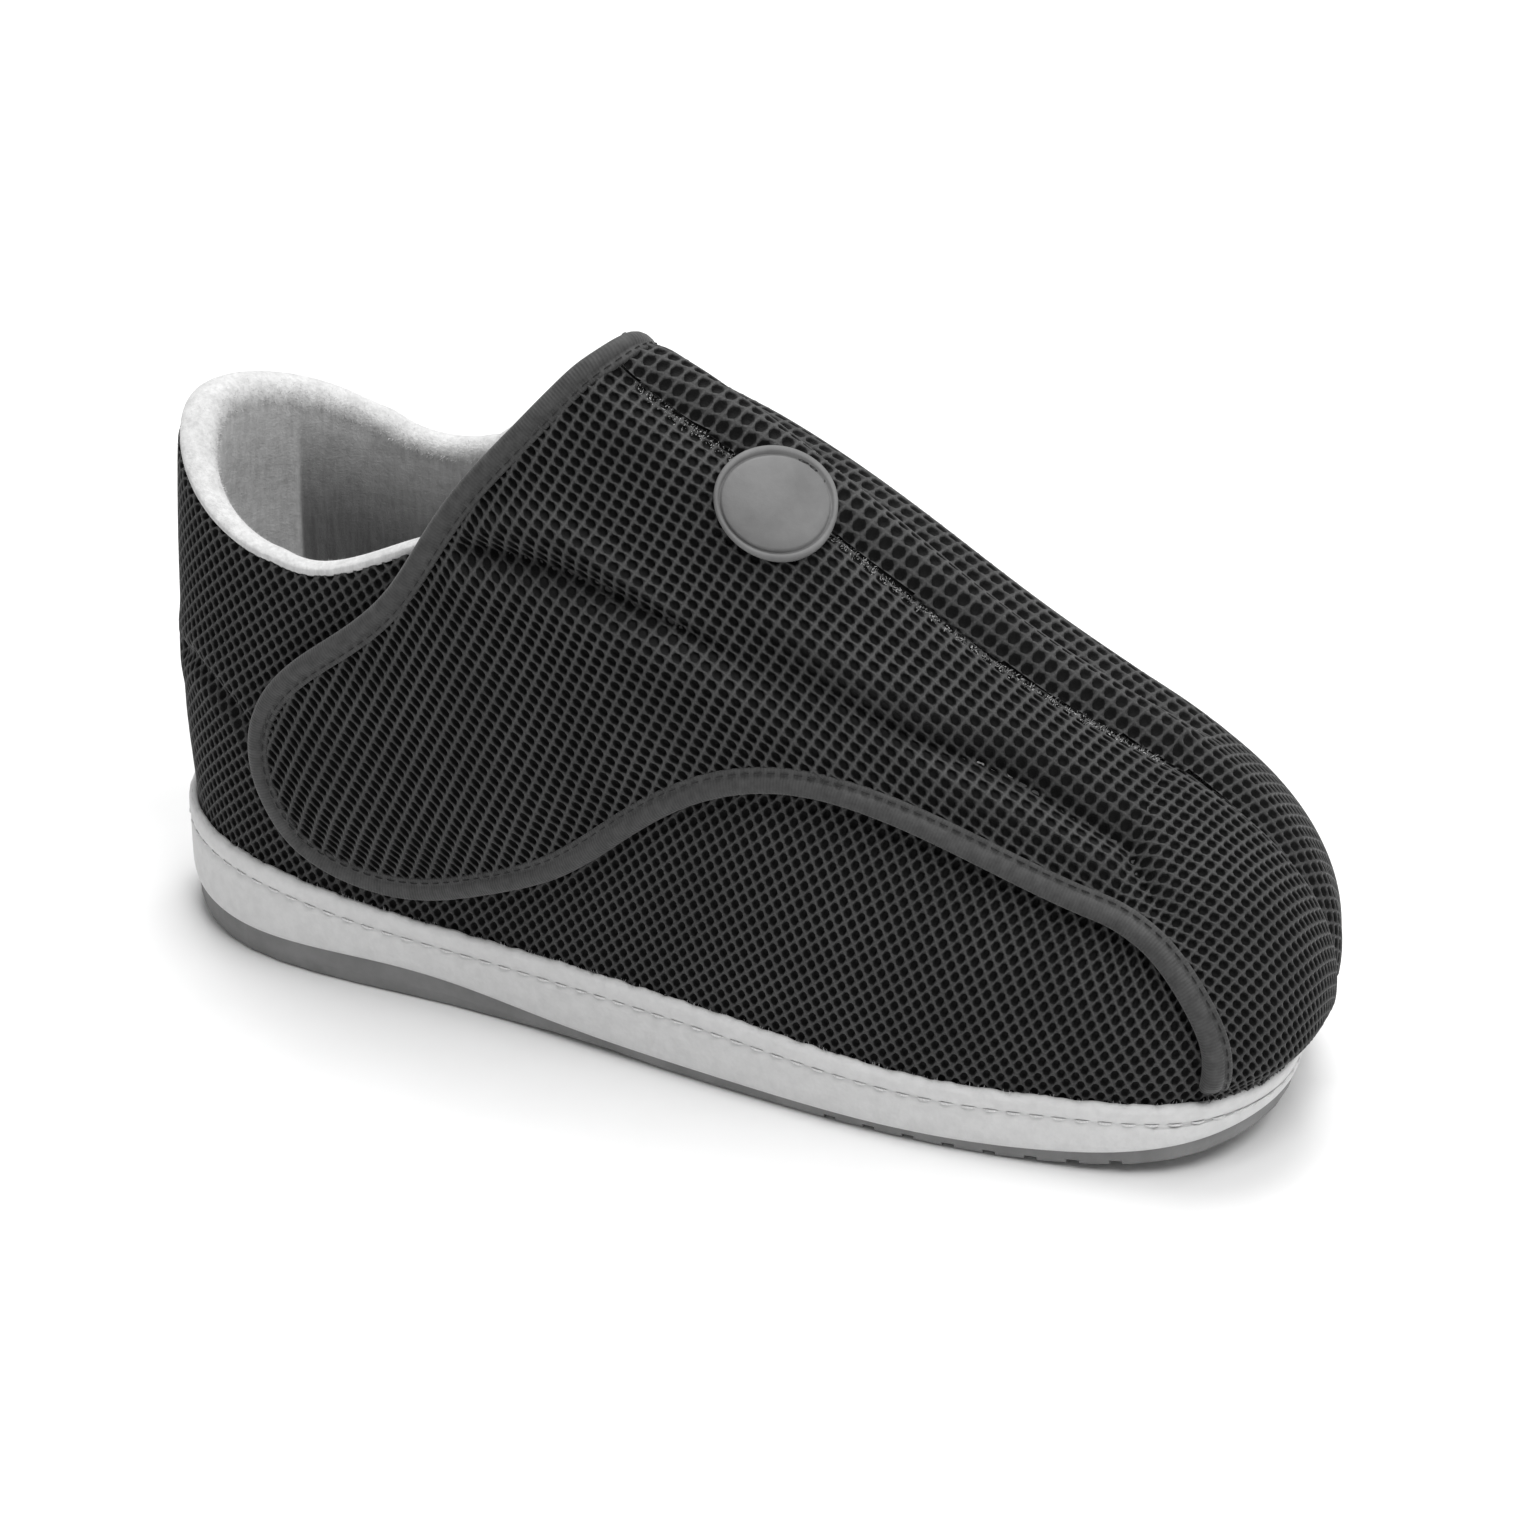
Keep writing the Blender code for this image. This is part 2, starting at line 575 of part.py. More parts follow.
def undevelop(points, table):
    """Walks and shares of points on that plane, on the outer side and round the toe."""
    feather = inset_outline(DEVELOP_WALKS, np.full(len(DEVELOP_WALKS), FEATHER_INSET))
    outer = DEVELOP_WALKS < TOE_WALK
    walk = np.interp(points[:, 0], feather[outer, 0], DEVELOP_WALKS[outer])
    for pole, beyond in ((TOE_POLE, points[:, 0] > TOE_POLE), (HEEL_POLE, points[:, 0] < HEEL_POLE)):
        foot = np.array([pole, sections([pole])[0, 1]])
        off, way = points - foot, feather - foot
        angles = np.unwrap(np.arctan2(way[:, 0], -way[:, 1]))
        turn = np.interp(np.arctan2(off[:, 0], -off[:, 1]), angles, DEVELOP_WALKS)
        walk = np.where(beyond, turn, walk)
    foot, _ = rib_plan(walk)
    length = np.linalg.norm(points - foot, axis=1)
    share = [1 - np.interp(d, row, DEVELOP_STEPS) for d, row in zip(length, lengths_at(walk, table))]
    return walk, np.array(share)


def resample(walk, share, spacing):
    """Walks and shares an even spacing apart along a curve on the surface."""
    points = rib(walk, share)
    run = np.r_[0.0, np.cumsum(np.linalg.norm(np.diff(points, axis=0), axis=1))]
    at = np.linspace(0.0, run[-1], max(2, int(round(run[-1] / spacing)) + 1))
    return np.interp(at, run, walk), np.interp(at, run, share)


def near_line(points, line):
    """The distance from each point to a polyline."""
    p = np.asarray(points, float)[:, None]
    a, b = line[:-1], line[1:]
    d = b - a
    t = np.clip(((p - a) * d).sum(-1) / np.maximum((d * d).sum(-1), 1e-15), 0, 1)
    return np.linalg.norm(p - a - t[..., None] * d, axis=-1).min(1)


def flap_border():
    """The flap's border: free edge, foot round the toe, last rib and instep seam."""
    walk, share = flap_edge(200)
    walk, share = shifted(walk, share, BINDING_WIDTH / 2 + 2 * CLEARANCE)
    keep = (share < SEAM_SHARE) & (share > lip_share(walk))
    walk, share = walk[keep], share[keep]
    end_walk = np.full(40, FLAP_END - FLAP_END_STEP)
    end_share = np.linspace(lip_share(end_walk[:1])[0], NEAR_POLE, 40)
    end_walk, end_share = shifted(end_walk, end_share, FLAP_SEAT)
    foot_walk = np.linspace(walk[-1], end_walk[0], 40)
    seam_walk = outer_walk(np.linspace(TOE_POLE - FLAP_SEAT, rib(walk[:1], share[:1])[0, 0] + CLEARANCE, 80))
    return ((walk, share), (foot_walk, lip_share(foot_walk)), (end_walk, end_share),
            (seam_walk, np.full(80, SEAM_SHARE)))


def foot_taper(walk, share):
    """How much of its thickness the flap keeps near its foot, where it tucks into the wrap."""
    return 0.3 + 0.7 * smooth((share - lip_share(walk)) / 0.09)


def quilt_seam():
    """Walks and shares along the flap's lower quilting seam."""
    curve = chord_spline(np.array(QUILT_SEAM) * (EDGE_STRETCH, 1.0))
    walk, rise = (curve(np.linspace(0.0, 1.0, 100)) / (EDGE_STRETCH, 1.0)).T
    return walk, share_at_rise(walk, rise)


def flap_fill(table, ring, lines, pitch):
    """Points inside a border on the plane, in staggered rows that keep clear of the seam lines."""
    low, high = ring.min(0), ring.max(0)
    rows = np.array([(x + (j % 2) * pitch / 2, y)
                     for j, y in enumerate(np.arange(low[1], high[1], pitch * 0.87))
                     for x in np.arange(low[0], high[0], pitch)])
    on_lines = lines[inside_polygon(lines, ring) & (near_line(lines, ring) > pitch * 0.45)]
    inside = inside_polygon(rows, ring) & (near_line(rows, ring) > pitch * 0.55)
    clear = np.linalg.norm(rows[:, None] - on_lines[None], axis=-1).min(1) > pitch * 0.6
    return np.vstack([on_lines, rows[inside & clear]])


def flap(collection):
    """The quilted flap: one triangulated panel, unrolled on a plane and laid over the last at two skins."""
    table = develop_table()
    steps = (FLAP_PITCH * 0.7, FLAP_PITCH, FLAP_PITCH, FLAP_PITCH)
    sides = flap_border()
    border = np.vstack([develop(*resample(*side, step), table)[:-1] for side, step in zip(sides, steps)])
    ring = np.vstack([border, border[:1]])
    quilt = quilt_seam()
    seam = sides[3]
    troughs = [quilt, shifted(*quilt, -1.4 * SEAM_HALF), shifted(*quilt, 1.4 * SEAM_HALF)]
    lines = np.vstack([develop(*resample(*line, FLAP_PITCH), table)[1:-1] for line in troughs])
    points = np.vstack([border, flap_fill(table, ring, lines, FLAP_PITCH)])
    edges = [(i, (i + 1) % len(border)) for i in range(len(border))]
    verts, _, faces, *_ = delaunay_2d_cdt([Vector(p) for p in points], edges, [], 1, 1e-7)
    flat = np.array([tuple(v) for v in verts])
    walk, share = undevelop(flat, table)
    bare = rib(walk, share)
    to_quilt = near_line(bare, rib(*quilt))
    to_seam = near_line(bare, rib(*seam))
    to_edge = near_line(bare, rib(*[np.concatenate(pair) for pair in zip(*sides[:3])]))
    dip = seam_dip(to_quilt) + seam_dip(to_seam)
    puff = panel_puff(np.minimum(to_quilt, np.minimum(to_seam, to_edge)))
    outside = last(walk, share, (FLAP_LIFT + puff - dip) * foot_taper(walk, share))
    inside = last(walk, share, FLAP_SEAT)
    count = len(flat)
    one_way = {(face[i], face[(i + 1) % 3]) for face in faces for i in range(3)}
    solid = [tuple(face) for face in faces] + [tuple(count + k for k in reversed(face)) for face in faces]
    solid += [(b, a, count + a, count + b) for a, b in one_way if (b, a) not in one_way]
    material = new_material("flap_mesh", (0.04, 0.04, 0.042), 0.85)
    return add_object("flap", np.vstack([outside, inside]), solid, material, collection)


def inside_polygon(points, ring):
    """Whether each point lies inside a closed ring."""
    x, y = points[:, 0][:, None], points[:, 1][:, None]
    a, b = ring[:-1], ring[1:]
    spans = (a[:, 1] > y) != (b[:, 1] > y)
    rise = np.where(a[:, 1] == b[:, 1], 1.0, b[:, 1] - a[:, 1])
    cross = a[:, 0] + (y - a[:, 1]) / rise * (b[:, 0] - a[:, 0])
    return (spans & (x < cross)).sum(1) % 2 == 1


def flap_binding(collection):
    """A folded tape swept round the flap's free edge."""
    walk, share = flap_edge(90)
    keep = (share < SEAM_SHARE) & (share > lip_share(walk) + 0.004)
    walk, share = walk[keep], share[keep]
    centre = last(walk, share)
    up = normal(walk, share)
    run = unit(np.gradient(centre, axis=0))
    side = unit(np.cross(up, run))
    half = BINDING_WIDTH / 2
    deep = (FLAP_WALL + BINDING_PROUD) * foot_taper(walk, share)
    profile = (
        # share of the half width, share of the height
        (-0.80, 0.0), (0.80, 0.0), (1.0, 0.2), (1.0, 0.75), (0.65, 1.0), (-0.65, 1.0), (-1.0, 0.75), (-1.0, 0.2),
    )
    columns = [centre + side * (across * half) + up * (CLEARANCE + height * deep)[:, None]
               for across, height in profile]
    count = len(walk)
    faces = grid_faces(len(columns), count, True, False)
    faces.append(tuple(k * count for k in range(len(columns))))
    faces.append(tuple(k * count + count - 1 for k in reversed(range(len(columns)))))
    material = new_material("binding_tape", (0.12, 0.12, 0.125), 0.8)
    return add_object("flap_binding", np.vstack(columns), faces, material, collection)


def beside_seam(x, across):
    """Walks and shares of places at a distance across the instep seam, outer side below zero."""
    walk = np.where(across < 0, outer_walk(x), inner_walk(x))
    steps = np.linspace(0.0, 1.0, 61)
    grid = rib(np.repeat(walk, 61), np.tile(steps, len(walk))).reshape(len(walk), 61, 3)
    result = []
    for row, distance in zip(grid, np.abs(across)):
        run = np.r_[0.0, np.cumsum(np.linalg.norm(np.diff(row[::-1], axis=0), axis=1))]
        result.append(1 - np.interp(distance, run, steps))
    return walk, np.array(result)


def badge(collection):
    """An oval rubber badge astride the instep seam, bare inside a raised rim."""
    spokes = 40
    x0 = float(place(BADGE_ALONG))
    ridge = rib(outer_walk(np.array([x0 - 0.01, x0 + 0.01])), np.ones(2))
    lean = float(np.linalg.norm(ridge[1] - ridge[0]) / (ridge[1, 0] - ridge[0, 0]))
    seat = FLAP_LIFT + 2 * CLEARANCE
    thick = BADGE_THICKNESS
    rim = BADGE_RIM / (BADGE_WIDTH / 2)
    rings = (
        # share of the radius, height
        (0.96, seat), (1.0, seat + 0.3 * thick), (1.0, seat + 0.75 * thick), (0.97, seat + thick),
        (1.0 - rim, seat + thick), (0.97 - rim, seat + 0.7 * thick),
    )
    rings = ((0.33, seat), (0.66, seat)) + rings + ((0.56, seat + 0.7 * thick), (0.28, seat + 0.7 * thick))
    angle = np.linspace(0.0, 2 * np.pi, spokes, endpoint=False)
    columns = []
    for share, height in rings:
        long = np.cos(angle) * BADGE_LENGTH / 2 * share
        short = np.sin(angle) * BADGE_WIDTH / 2 * share
        along = (long * np.cos(BADGE_TURN) - short * np.sin(BADGE_TURN)) / lean
        across = long * np.sin(BADGE_TURN) + short * np.cos(BADGE_TURN) - BADGE_OFF_SEAM
        walk, up = beside_seam(x0 + along, across)
        columns.append(last(walk, np.minimum(up, 0.999), height + panel_puff(np.abs(across))))
    points = np.vstack(columns)
    faces = [tuple(reversed(face)) for face in grid_faces(len(columns), spokes, False, True)]
    middle_walk, middle_up = beside_seam(np.full(2, x0), np.full(2, -BADGE_OFF_SEAM))
    middle = last(middle_walk, middle_up, np.array([seat, seat + 0.7 * thick]))
    points = np.vstack([points, middle])
    top, low = len(columns) * spokes + 1, len(columns) * spokes
    for k in range(spokes):
        n = (k + 1) % spokes
        faces.append((low, k, n))
        faces.append((top, (len(columns) - 1) * spokes + n, (len(columns) - 1) * spokes + k))
    return add_object("badge", points, faces, new_material("badge_rubber", (0.25, 0.25, 0.26), 0.6), collection)


def main():
    for obj in list(bpy.data.objects):
        bpy.data.objects.remove(obj, do_unlink=True)
    shoe = bpy.data.collections.new("post_operative_shoe")
    cutters = bpy.data.collections.new("cutters")
    for collection in (shoe, cutters):
        bpy.context.scene.collection.children.link(collection)
    outsole(shoe, cutters)
    midsole(shoe)
    platform_wrap(shoe)
    insole(shoe)
    upper(shoe)
    flap(shoe)
    flap_binding(shoe)
    badge(shoe)


main()
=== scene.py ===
"""The looks of a post operative shoe for the right foot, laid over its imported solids.

Metres, in the solids' own frame: +X from heel to toe, -Y the outer side, +Z up, and z = 0 the floor. A place
on the upper is a walk, the share of the way round the feather line from the heel's back by the outer side, and
a share of the way up the rib that starts there.
"""
import math

import bpy
import numpy as np
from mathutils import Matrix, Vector

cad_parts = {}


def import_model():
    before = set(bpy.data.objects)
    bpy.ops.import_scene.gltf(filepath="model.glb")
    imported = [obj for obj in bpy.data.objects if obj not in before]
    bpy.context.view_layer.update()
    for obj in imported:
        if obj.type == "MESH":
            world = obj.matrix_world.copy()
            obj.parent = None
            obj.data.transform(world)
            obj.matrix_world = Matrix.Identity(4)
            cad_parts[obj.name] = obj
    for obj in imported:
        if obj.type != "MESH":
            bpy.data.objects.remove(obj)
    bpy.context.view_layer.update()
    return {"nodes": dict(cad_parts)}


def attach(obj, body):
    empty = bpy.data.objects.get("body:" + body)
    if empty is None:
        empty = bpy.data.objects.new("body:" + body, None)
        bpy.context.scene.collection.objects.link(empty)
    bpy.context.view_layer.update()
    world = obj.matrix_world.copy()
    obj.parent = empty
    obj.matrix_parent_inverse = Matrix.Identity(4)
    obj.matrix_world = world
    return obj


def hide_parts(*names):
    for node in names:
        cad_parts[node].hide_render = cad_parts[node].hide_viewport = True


# Main sizes of the shoe
SOLE_LENGTH = 0.2735
BALL_HALF_WIDTH = 0.051
HEEL_STACK = 0.030
INSTEP_RISE = 0.138
HEEL_TO_ORIGIN = 0.0383
CLEARANCE = 0.0003

# Walls
PAD_WALL = 0.005
TOE_WALL = 0.0017
RIM_SWELL = 0.0035
RIM_DEPTH = 0.016
FLAP_WALL = 0.0035
FLAP_SEAT = 0.0006
SEAM_DIP = 0.0016
SEAM_HALF = 0.0035
PANEL_PUFF = 0.0018
PUFF_REACH = 0.013
BINDING_WIDTH = 0.0050
BINDING_PROUD = 0.0006
WRAP_WALL = 0.0016
WRAP_LIP = 0.0035
WRAP_STEP = 0.0004
STITCH_DROP = 0.0050
INSOLE_THICKNESS = 0.0040
INSOLE_RINGS = (
    # share of the way in to the spine, share of the thickness
    (0.0, 0.0), (0.0, 0.7), (0.015, 0.93), (0.04, 1.0), (0.3, 1.0), (0.6, 1.0), (0.97, 1.0),
)

# Badge
BADGE_LENGTH = 0.0296
BADGE_WIDTH = 0.0202
BADGE_TURN = 0.5
BADGE_THICKNESS = 0.0022
BADGE_ALONG = 0.5494
BADGE_OFF_SEAM = 0.0045
BADGE_RINGS = (
    # distance in from the edge, share of the thickness
    (0.0004, -0.9), (0.0, -0.4), (0.0, 0.70), (0.0002, 0.92), (0.0005, 1.02), (0.0009, 1.02), (0.0012, 0.90),
    (0.0013, 0.55), (0.0017, 0.53), (0.0019, 0.88), (0.0023, 0.98), (0.0040, 1.00), (0.0060, 1.01),
    (0.0080, 1.02), (0.0092, 1.02),
)

# The sole's outline in shares of its length and its half width, from the heel's back by the outer side.
OUTLINE = (
    # along, across
    (0.000, 0.00), (0.027, -0.36), (0.081, -0.59), (0.160, -0.70), (0.295, -0.735), (0.437, -0.83),
    (0.580, -0.94), (0.712, -1.00), (0.834, -0.97), (0.944, -0.80), (0.990, -0.38), (0.988, 0.05),
    (0.976, 0.41), (0.925, 0.75), (0.810, 0.94), (0.660, 0.92), (0.508, 0.80), (0.366, 0.71),
    (0.219, 0.70), (0.100, 0.65), (0.030, 0.40),
)
# Heights of the sole's layers, in shares of the heel stack.
SOLE_LAYERS = (
    # along, outsole top, midsole top
    (0.00, 0.32, 0.840),
    (0.09, 0.26, 0.780),
    (0.25, 0.27, 0.600),
    (0.38, 0.16, 0.560),
    (0.54, 0.11, 0.540),
    (0.72, 0.10, 0.460),
    (0.86, 0.18, 0.505),
    (1.00, 0.42, 0.530),
)
# Cross sections of the upper. Heights are shares of the instep's rise over the midsole, bulges and the seam's
# place across are shares of the half width, and the fullnesses shape the rib's two halves.
SECTIONS = (
    # along, seam height, seam across, cross slope, side fullness, roof fullness, outer bulge, inner bulge
    (0.14, 1.400, -0.02, 0.00, 0.52, 0.80, 0.05, 0.05),
    (0.27, 1.215, -0.10, 0.20, 0.52, 0.60, 0.05, 0.05),
    (0.39, 1.025, -0.20, 0.64, 0.46, 0.46, 0.06, 0.06),
    (0.50, 0.900, -0.25, 0.72, 0.40, 0.48, 0.08, 0.10),
    (0.64, 0.733, -0.25, 0.68, 0.38, 0.52, 0.12, 0.14),
    (0.77, 0.562, -0.17, 0.44, 0.42, 0.55, 0.17, 0.18),
    (0.86, 0.450, -0.06, 0.22, 0.48, 0.58, 0.20, 0.20),
)
# The flap's free edge, from the instep's peak round the rear lobe and along the outer side to the toe.
FLAP_EDGE = (
    # walk, rise
    (0.206, 1.040), (0.190, 0.965), (0.175, 0.885), (0.161, 0.805), (0.149, 0.713), (0.136, 0.607),
    (0.117, 0.510), (0.097, 0.420), (0.086, 0.344), (0.0815, 0.262), (0.085, 0.178), (0.094, 0.112),
    (0.113, 0.082), (0.142, 0.092), (0.170, 0.145), (0.199, 0.215), (0.226, 0.320), (0.252, 0.407),
    (0.286, 0.456), (0.318, 0.442), (0.354, 0.387), (0.392, 0.318), (0.418, 0.265), (0.432, 0.188),
    (0.438, 0.105), (0.4375, 0.055),
)
# The lower quilting seam of the flap.
QUILT_SEAM = (
    # walk, rise
    (0.1500, 0.720), (0.190, 0.707), (0.235, 0.655), (0.280, 0.605), (0.312, 0.555), (0.354, 0.487),
    (0.382, 0.417), (0.404, 0.357), (0.426, 0.260),
)
# The upper's own top edge: collar, outer quarter under the flap, and the inner side behind the instep's peak.
COLLAR = (
    # walk, share
    (-0.202, 1.000), (-0.199, 0.830), (-0.193, 0.700), (-0.183, 0.590), (-0.168, 0.490), (-0.150, 0.415),
    (-0.135, 0.364), (-0.117, 0.328), (-0.096, 0.310), (-0.069, 0.323), (-0.034, 0.343), (0.000, 0.345),
    (0.034, 0.315), (0.069, 0.285), (0.097, 0.285), (0.116, 0.314), (0.135, 0.364), (0.160, 0.440),
    (0.200, 0.500), (0.260, 0.575), (0.330, 0.700), (0.390, 0.740), (0.440, 0.680), (0.510, 0.600),
)
# The run over which the roof's slope at the toe is taken
ROOF_STEP = 0.001
# Walks where the flap ends at the toe and where the inner side ends at the collar
FLAP_END = 0.510
FLAP_END_STEP = 0.0005
VAMP_REAR = 0.798
# How much longer a step of walk counts than a step of rise, where a curve of the two is evened out.
EDGE_STRETCH = 4.5

# Knit: a cell's sizes, its hole, and the turns of its rows in degrees
CELL_ALONG = 0.0028
CELL_ACROSS = 0.0024
CELL_LEAN = 0.0008
PIT_DEPTH = 0.0012
HOLE_LONG = 0.90
HOLE_SHORT = 0.72
HOLE_TURN = 0.50
HOLE_STEPS = (
    # share of the hole's size, share of its depth
    (1.0, 0.22), (0.86, 0.62), (0.66, 1.0),
)
KNIT_SIDES = 8
WELD = 2e-5
FLAP_TURN = 0
VAMP_TURN = 6
QUARTER_TURN = 45
# The plane's box that the inner side's knit is cut from, and how far the quarter's reaches
VAMP_BOX = (0.0, -0.07), (0.30, 0.20)
QUARTER_END = 0.45
QUARTER_HEIGHT = 0.12
UNDER_FLAP = 0.004
# Walks at which one knitted piece ends and the next begins
VAMP_SPLIT = 0.862
TOE_SPLIT = 0.600
HEEL_SPLIT = 0.055
SPLIT_DIP = 0.0008
SPLIT_HALF = 0.002
# The highest share that a knitted point takes, just short of the instep seam
NEAR_SEAM = 0.9995

# Folds and rolls of the padded panels
FOLD_DEPTH = 0.0025
FOLD_HALF = 0.0027
FOLD_CORE = 0.0005
FOLD_CORE_HALF = 0.0012
FOLD_FADE = 0.436, 0.030
ROLL_RISE = 0.0025
QUILT_ROLL = 0.0068, 0.0050
SEAM_ROLL = 0.0065, 0.0040
INNER_ROLL = 0.0065, 0.0045
INNER_FOLD = 0.0125
SLACK = 0.0004
LEAST_SKIN = 0.0012
TAPE_CLEAR = 0.006
HEEL_SWELL = 0.0012
HEEL_PAD = 0.0016
HEEL_PAD_ENDS = 0.047, 0.950
# A soft crease low on the heel's outer side
HEEL_CREASE = (
    # walk, share
    (0.026, 0.150), (0.041, 0.159), (0.052, 0.154), (0.066, 0.141), (0.074, 0.125), (0.084, 0.106),
)
CREASE_DEPTH = 0.0013
CREASE_HALF = 0.0022
CREASE_LIP = 0.0006
CREASE_ROLL = 0.0055, 0.0035
# The tape's middle line over the peak, on the inner side
PEAK_WALKS = 0.7968, 0.7953, 0.7944, 0.7944, 0.7970, 0.8030, 0.8110
PEAK_SHARES = 0.970, 0.925, 0.870, 0.800, 0.720, 0.650, 0.590
# The free edge's share above which the tape leaves it for the peak
PEAK_START = 0.90

# The strip down in the instep seam, painted near-black as the seam's shade, mirrored on the seam's other side
SEAM_STRIP = (
    # distance from the seam, how far under the knit
    (0.0034, 0.0024), (0.0024, 0.0018), (0.0012, 0.0014),
)
SEAM_SINK = 0.0008

# Collar's roll: the angle where knit meets fleece, how proud the fleece stands, and how far it sinks ahead
SHOULDER = 48
COLLAR_REACH = 0.035
FLEECE_PROUD = 0.0011
FLEECE_SINK = 0.0018

# Tape, stitches and loose fibres
TAPE_RIB = 0.0007
TAPE_TUCK = 0.006
TAPE_PROFILE = (
    # share of the half width from the free side, share of the height
    (1.00, 0.02), (1.10, 0.22), (1.14, 0.45), (1.10, 0.70), (0.95, 0.90), (0.70, 1.02), (0.35, 1.08),
    (0.00, 1.06), (-0.30, 1.00), (-0.42, 0.93), (-0.50, 0.90), (-0.75, 0.92), (-1.05, 0.92), (-1.20, 0.86),
    (-1.22, 0.60), (-1.10, 0.10),
)
# The tape's stitches: share of the half width, share of the height
TAPE_STITCH_PLACE = 0.78, 0.93
# Stitches: length, gap, radius, lift
TAPE_STITCH = 0.0020, 0.0010, 0.00016, 0.0001
WRAP_STITCH = 0.0034, 0.0016, 0.00028, 0.00012
STITCH_SHAPE = (
    # along, rise, thickness
    (0.0, -1.0, 0.35), (0.12, 0.2, 0.85), (0.35, 1.0, 1.0),
    (0.65, 1.0, 1.0), (0.88, 0.2, 0.85), (1.0, -1.0, 0.35),
)
STITCH_SIDES = 6
FIBRE_WIDTH = 0.00010
SEAM_FIBRE_WIDTH = 0.00016
SEAM_FIBRES = 2600
RIM_FIBRES = 15000
WRAP_FIBRES = 5200
SEED = 7

# Tones, as linear greys
YARN = 0.060
# Painted shade: the near-black floor of the knit's holes, standing in for the shade seen through them
YARN_HOLE_PAINTED_SHADE = 0.0009
FLEECE = 0.54
LINING = 0.58
# Painted shade: the lining's darker tone deep inside and ahead of the heel's pad
LINING_PAINTED_SHADE = 0.11
FLAP_CLOTH = 0.10
# Painted shade: the near-black strip down in the instep seam's trough
SEAM_PAINTED_SHADE = 0.012
SEAM_FLUFF = 0.55
WRAP_FLUFF = 0.62
TAPE = 0.054
LEATHER = 0.66
WRAP_THREAD = 0.70
TAPE_THREAD = 0.02
SOLE = 0.21
BADGE_TONE = 0.15
FOAM = 0.55

# Camera, in the photograph's own frame, and lights
FRAME_SIDE = 1536
FOCAL = 4453
CENTRE_ACROSS = 740.7
CENTRE_DOWN = 748.9
AZIMUTH = 20.95
ELEVATION = 29.15
DISTANCE = 1.0
TARGET = 0.099, 0.0, 0.060
SENSOR = 36.0
CLIP = 0.01, 20.0
FLOOR_REACH = 4.0
SKY = 0.34
LIGHTS = (
    # name, azimuth, elevation, distance, size, power
    ("key", 60, 62, 1.5, 0.9, 15),
    ("back", 200, 70, 1.6, 1.0, 22),
)


def spline(knots, rows, closed=False):
    """A cubic through rows of values at rising knots, natural at its ends or closed on itself."""
    x = np.asarray(knots, float)
    y = np.asarray(rows, float).reshape(len(x), -1)
    count = len(x)
    step = np.diff(x)
    slope = np.diff(y, axis=0) / step[:, None]
    matrix = np.zeros((count, count))
    right = np.zeros_like(y)
    for i in range(1, count - 1):
        matrix[i, i - 1:i + 2] = step[i - 1], 2 * (step[i - 1] + step[i]), step[i]
        right[i] = 6 * (slope[i] - slope[i - 1])
    matrix[0, 0] = 1.0
    matrix[-1, -1] = 1.0
    if closed:
        matrix[0, :2] = 2 * (step[0] + step[-1]), step[0]
        matrix[0, -2] = step[-1]
        right[0] = 6 * (slope[0] - slope[-1])
        matrix[-1, 0] = -1.0
    bend = np.linalg.solve(matrix, right)

    def at(values):
        u = np.atleast_1d(np.asarray(values, float))
        if closed:
            u = x[0] + (u - x[0]) % (x[-1] - x[0])
        i = np.clip(np.searchsorted(x, u, side="right") - 1, 0, count - 2)
        d = step[i][:, None]
        w = (u - x[i])[:, None]
        return (y[i] + w * (slope[i] - d * (2 * bend[i] + bend[i + 1]) / 6)
                + w ** 2 * bend[i] / 2 + w ** 3 * (bend[i + 1] - bend[i]) / (6 * d))
    return at


def smooth(value):
    """A soft step from 0 to 1."""
    v = np.clip(value, 0.0, 1.0)
    return v * v * (3 - 2 * v)


def place(along):
    """The X of a share of the sole's length."""
    return np.asarray(along, float) * SOLE_LENGTH - HEEL_TO_ORIGIN


def unit(rows):
    """Each row at a length of one."""
    return rows / np.linalg.norm(rows, axis=1)[:, None]


def run_along(points):
    """The length along a polyline up to each of its points."""
    return np.r_[0.0, np.cumsum(np.linalg.norm(np.diff(points, axis=0), axis=1))]


def interp_rows(at, knots, rows):
    """Each column of rows, between its knots."""
    return np.stack([np.interp(at, knots, column) for column in np.transpose(rows)], axis=-1)


def chord_spline(points, closed=False):
    """A spline through points, run from 0 to 1 by its chord length."""
    p = np.asarray(points, float)
    run = run_along(p)
    return spline(run / run[-1], p, closed)


def outline_points():
    """The outline's points in metres, back to the first."""
    rows = np.array(OUTLINE + OUTLINE[:1])
    return np.column_stack([place(rows[:, 0]), rows[:, 1] * BALL_HALF_WIDTH])


outline = chord_spline(outline_points(), closed=True)
layers = spline(place([row[0] for row in SOLE_LAYERS]),
                [[share * HEEL_STACK for share in row[1:]] for row in SOLE_LAYERS])
sections = spline(place([row[0] for row in SECTIONS]),
                  [(row[1] * INSTEP_RISE, row[2] * BALL_HALF_WIDTH, row[3], row[4], row[5],
                    row[6] * BALL_HALF_WIDTH, row[7] * BALL_HALF_WIDTH) for row in SECTIONS])
HEEL_POLE = float(place(SECTIONS[0][0]))
TOE_POLE = float(place(SECTIONS[-1][0]))
ROOF_END = [float(layers([x])[0, 1] + sections([x])[0, 0]) for x in (TOE_POLE - ROOF_STEP, TOE_POLE)]
TOE_SLOPE = (ROOF_END[1] - ROOF_END[0]) / ROOF_STEP
FEATHER_INSET = WRAP_WALL + CLEARANCE
FLAP_LIFT = FLAP_WALL + CLEARANCE

WALK_TABLE = np.linspace(0.0, 1.0, 2001)
OUTLINE_TABLE = outline(WALK_TABLE)
TIP = int(np.argmax(OUTLINE_TABLE[:, 0]))


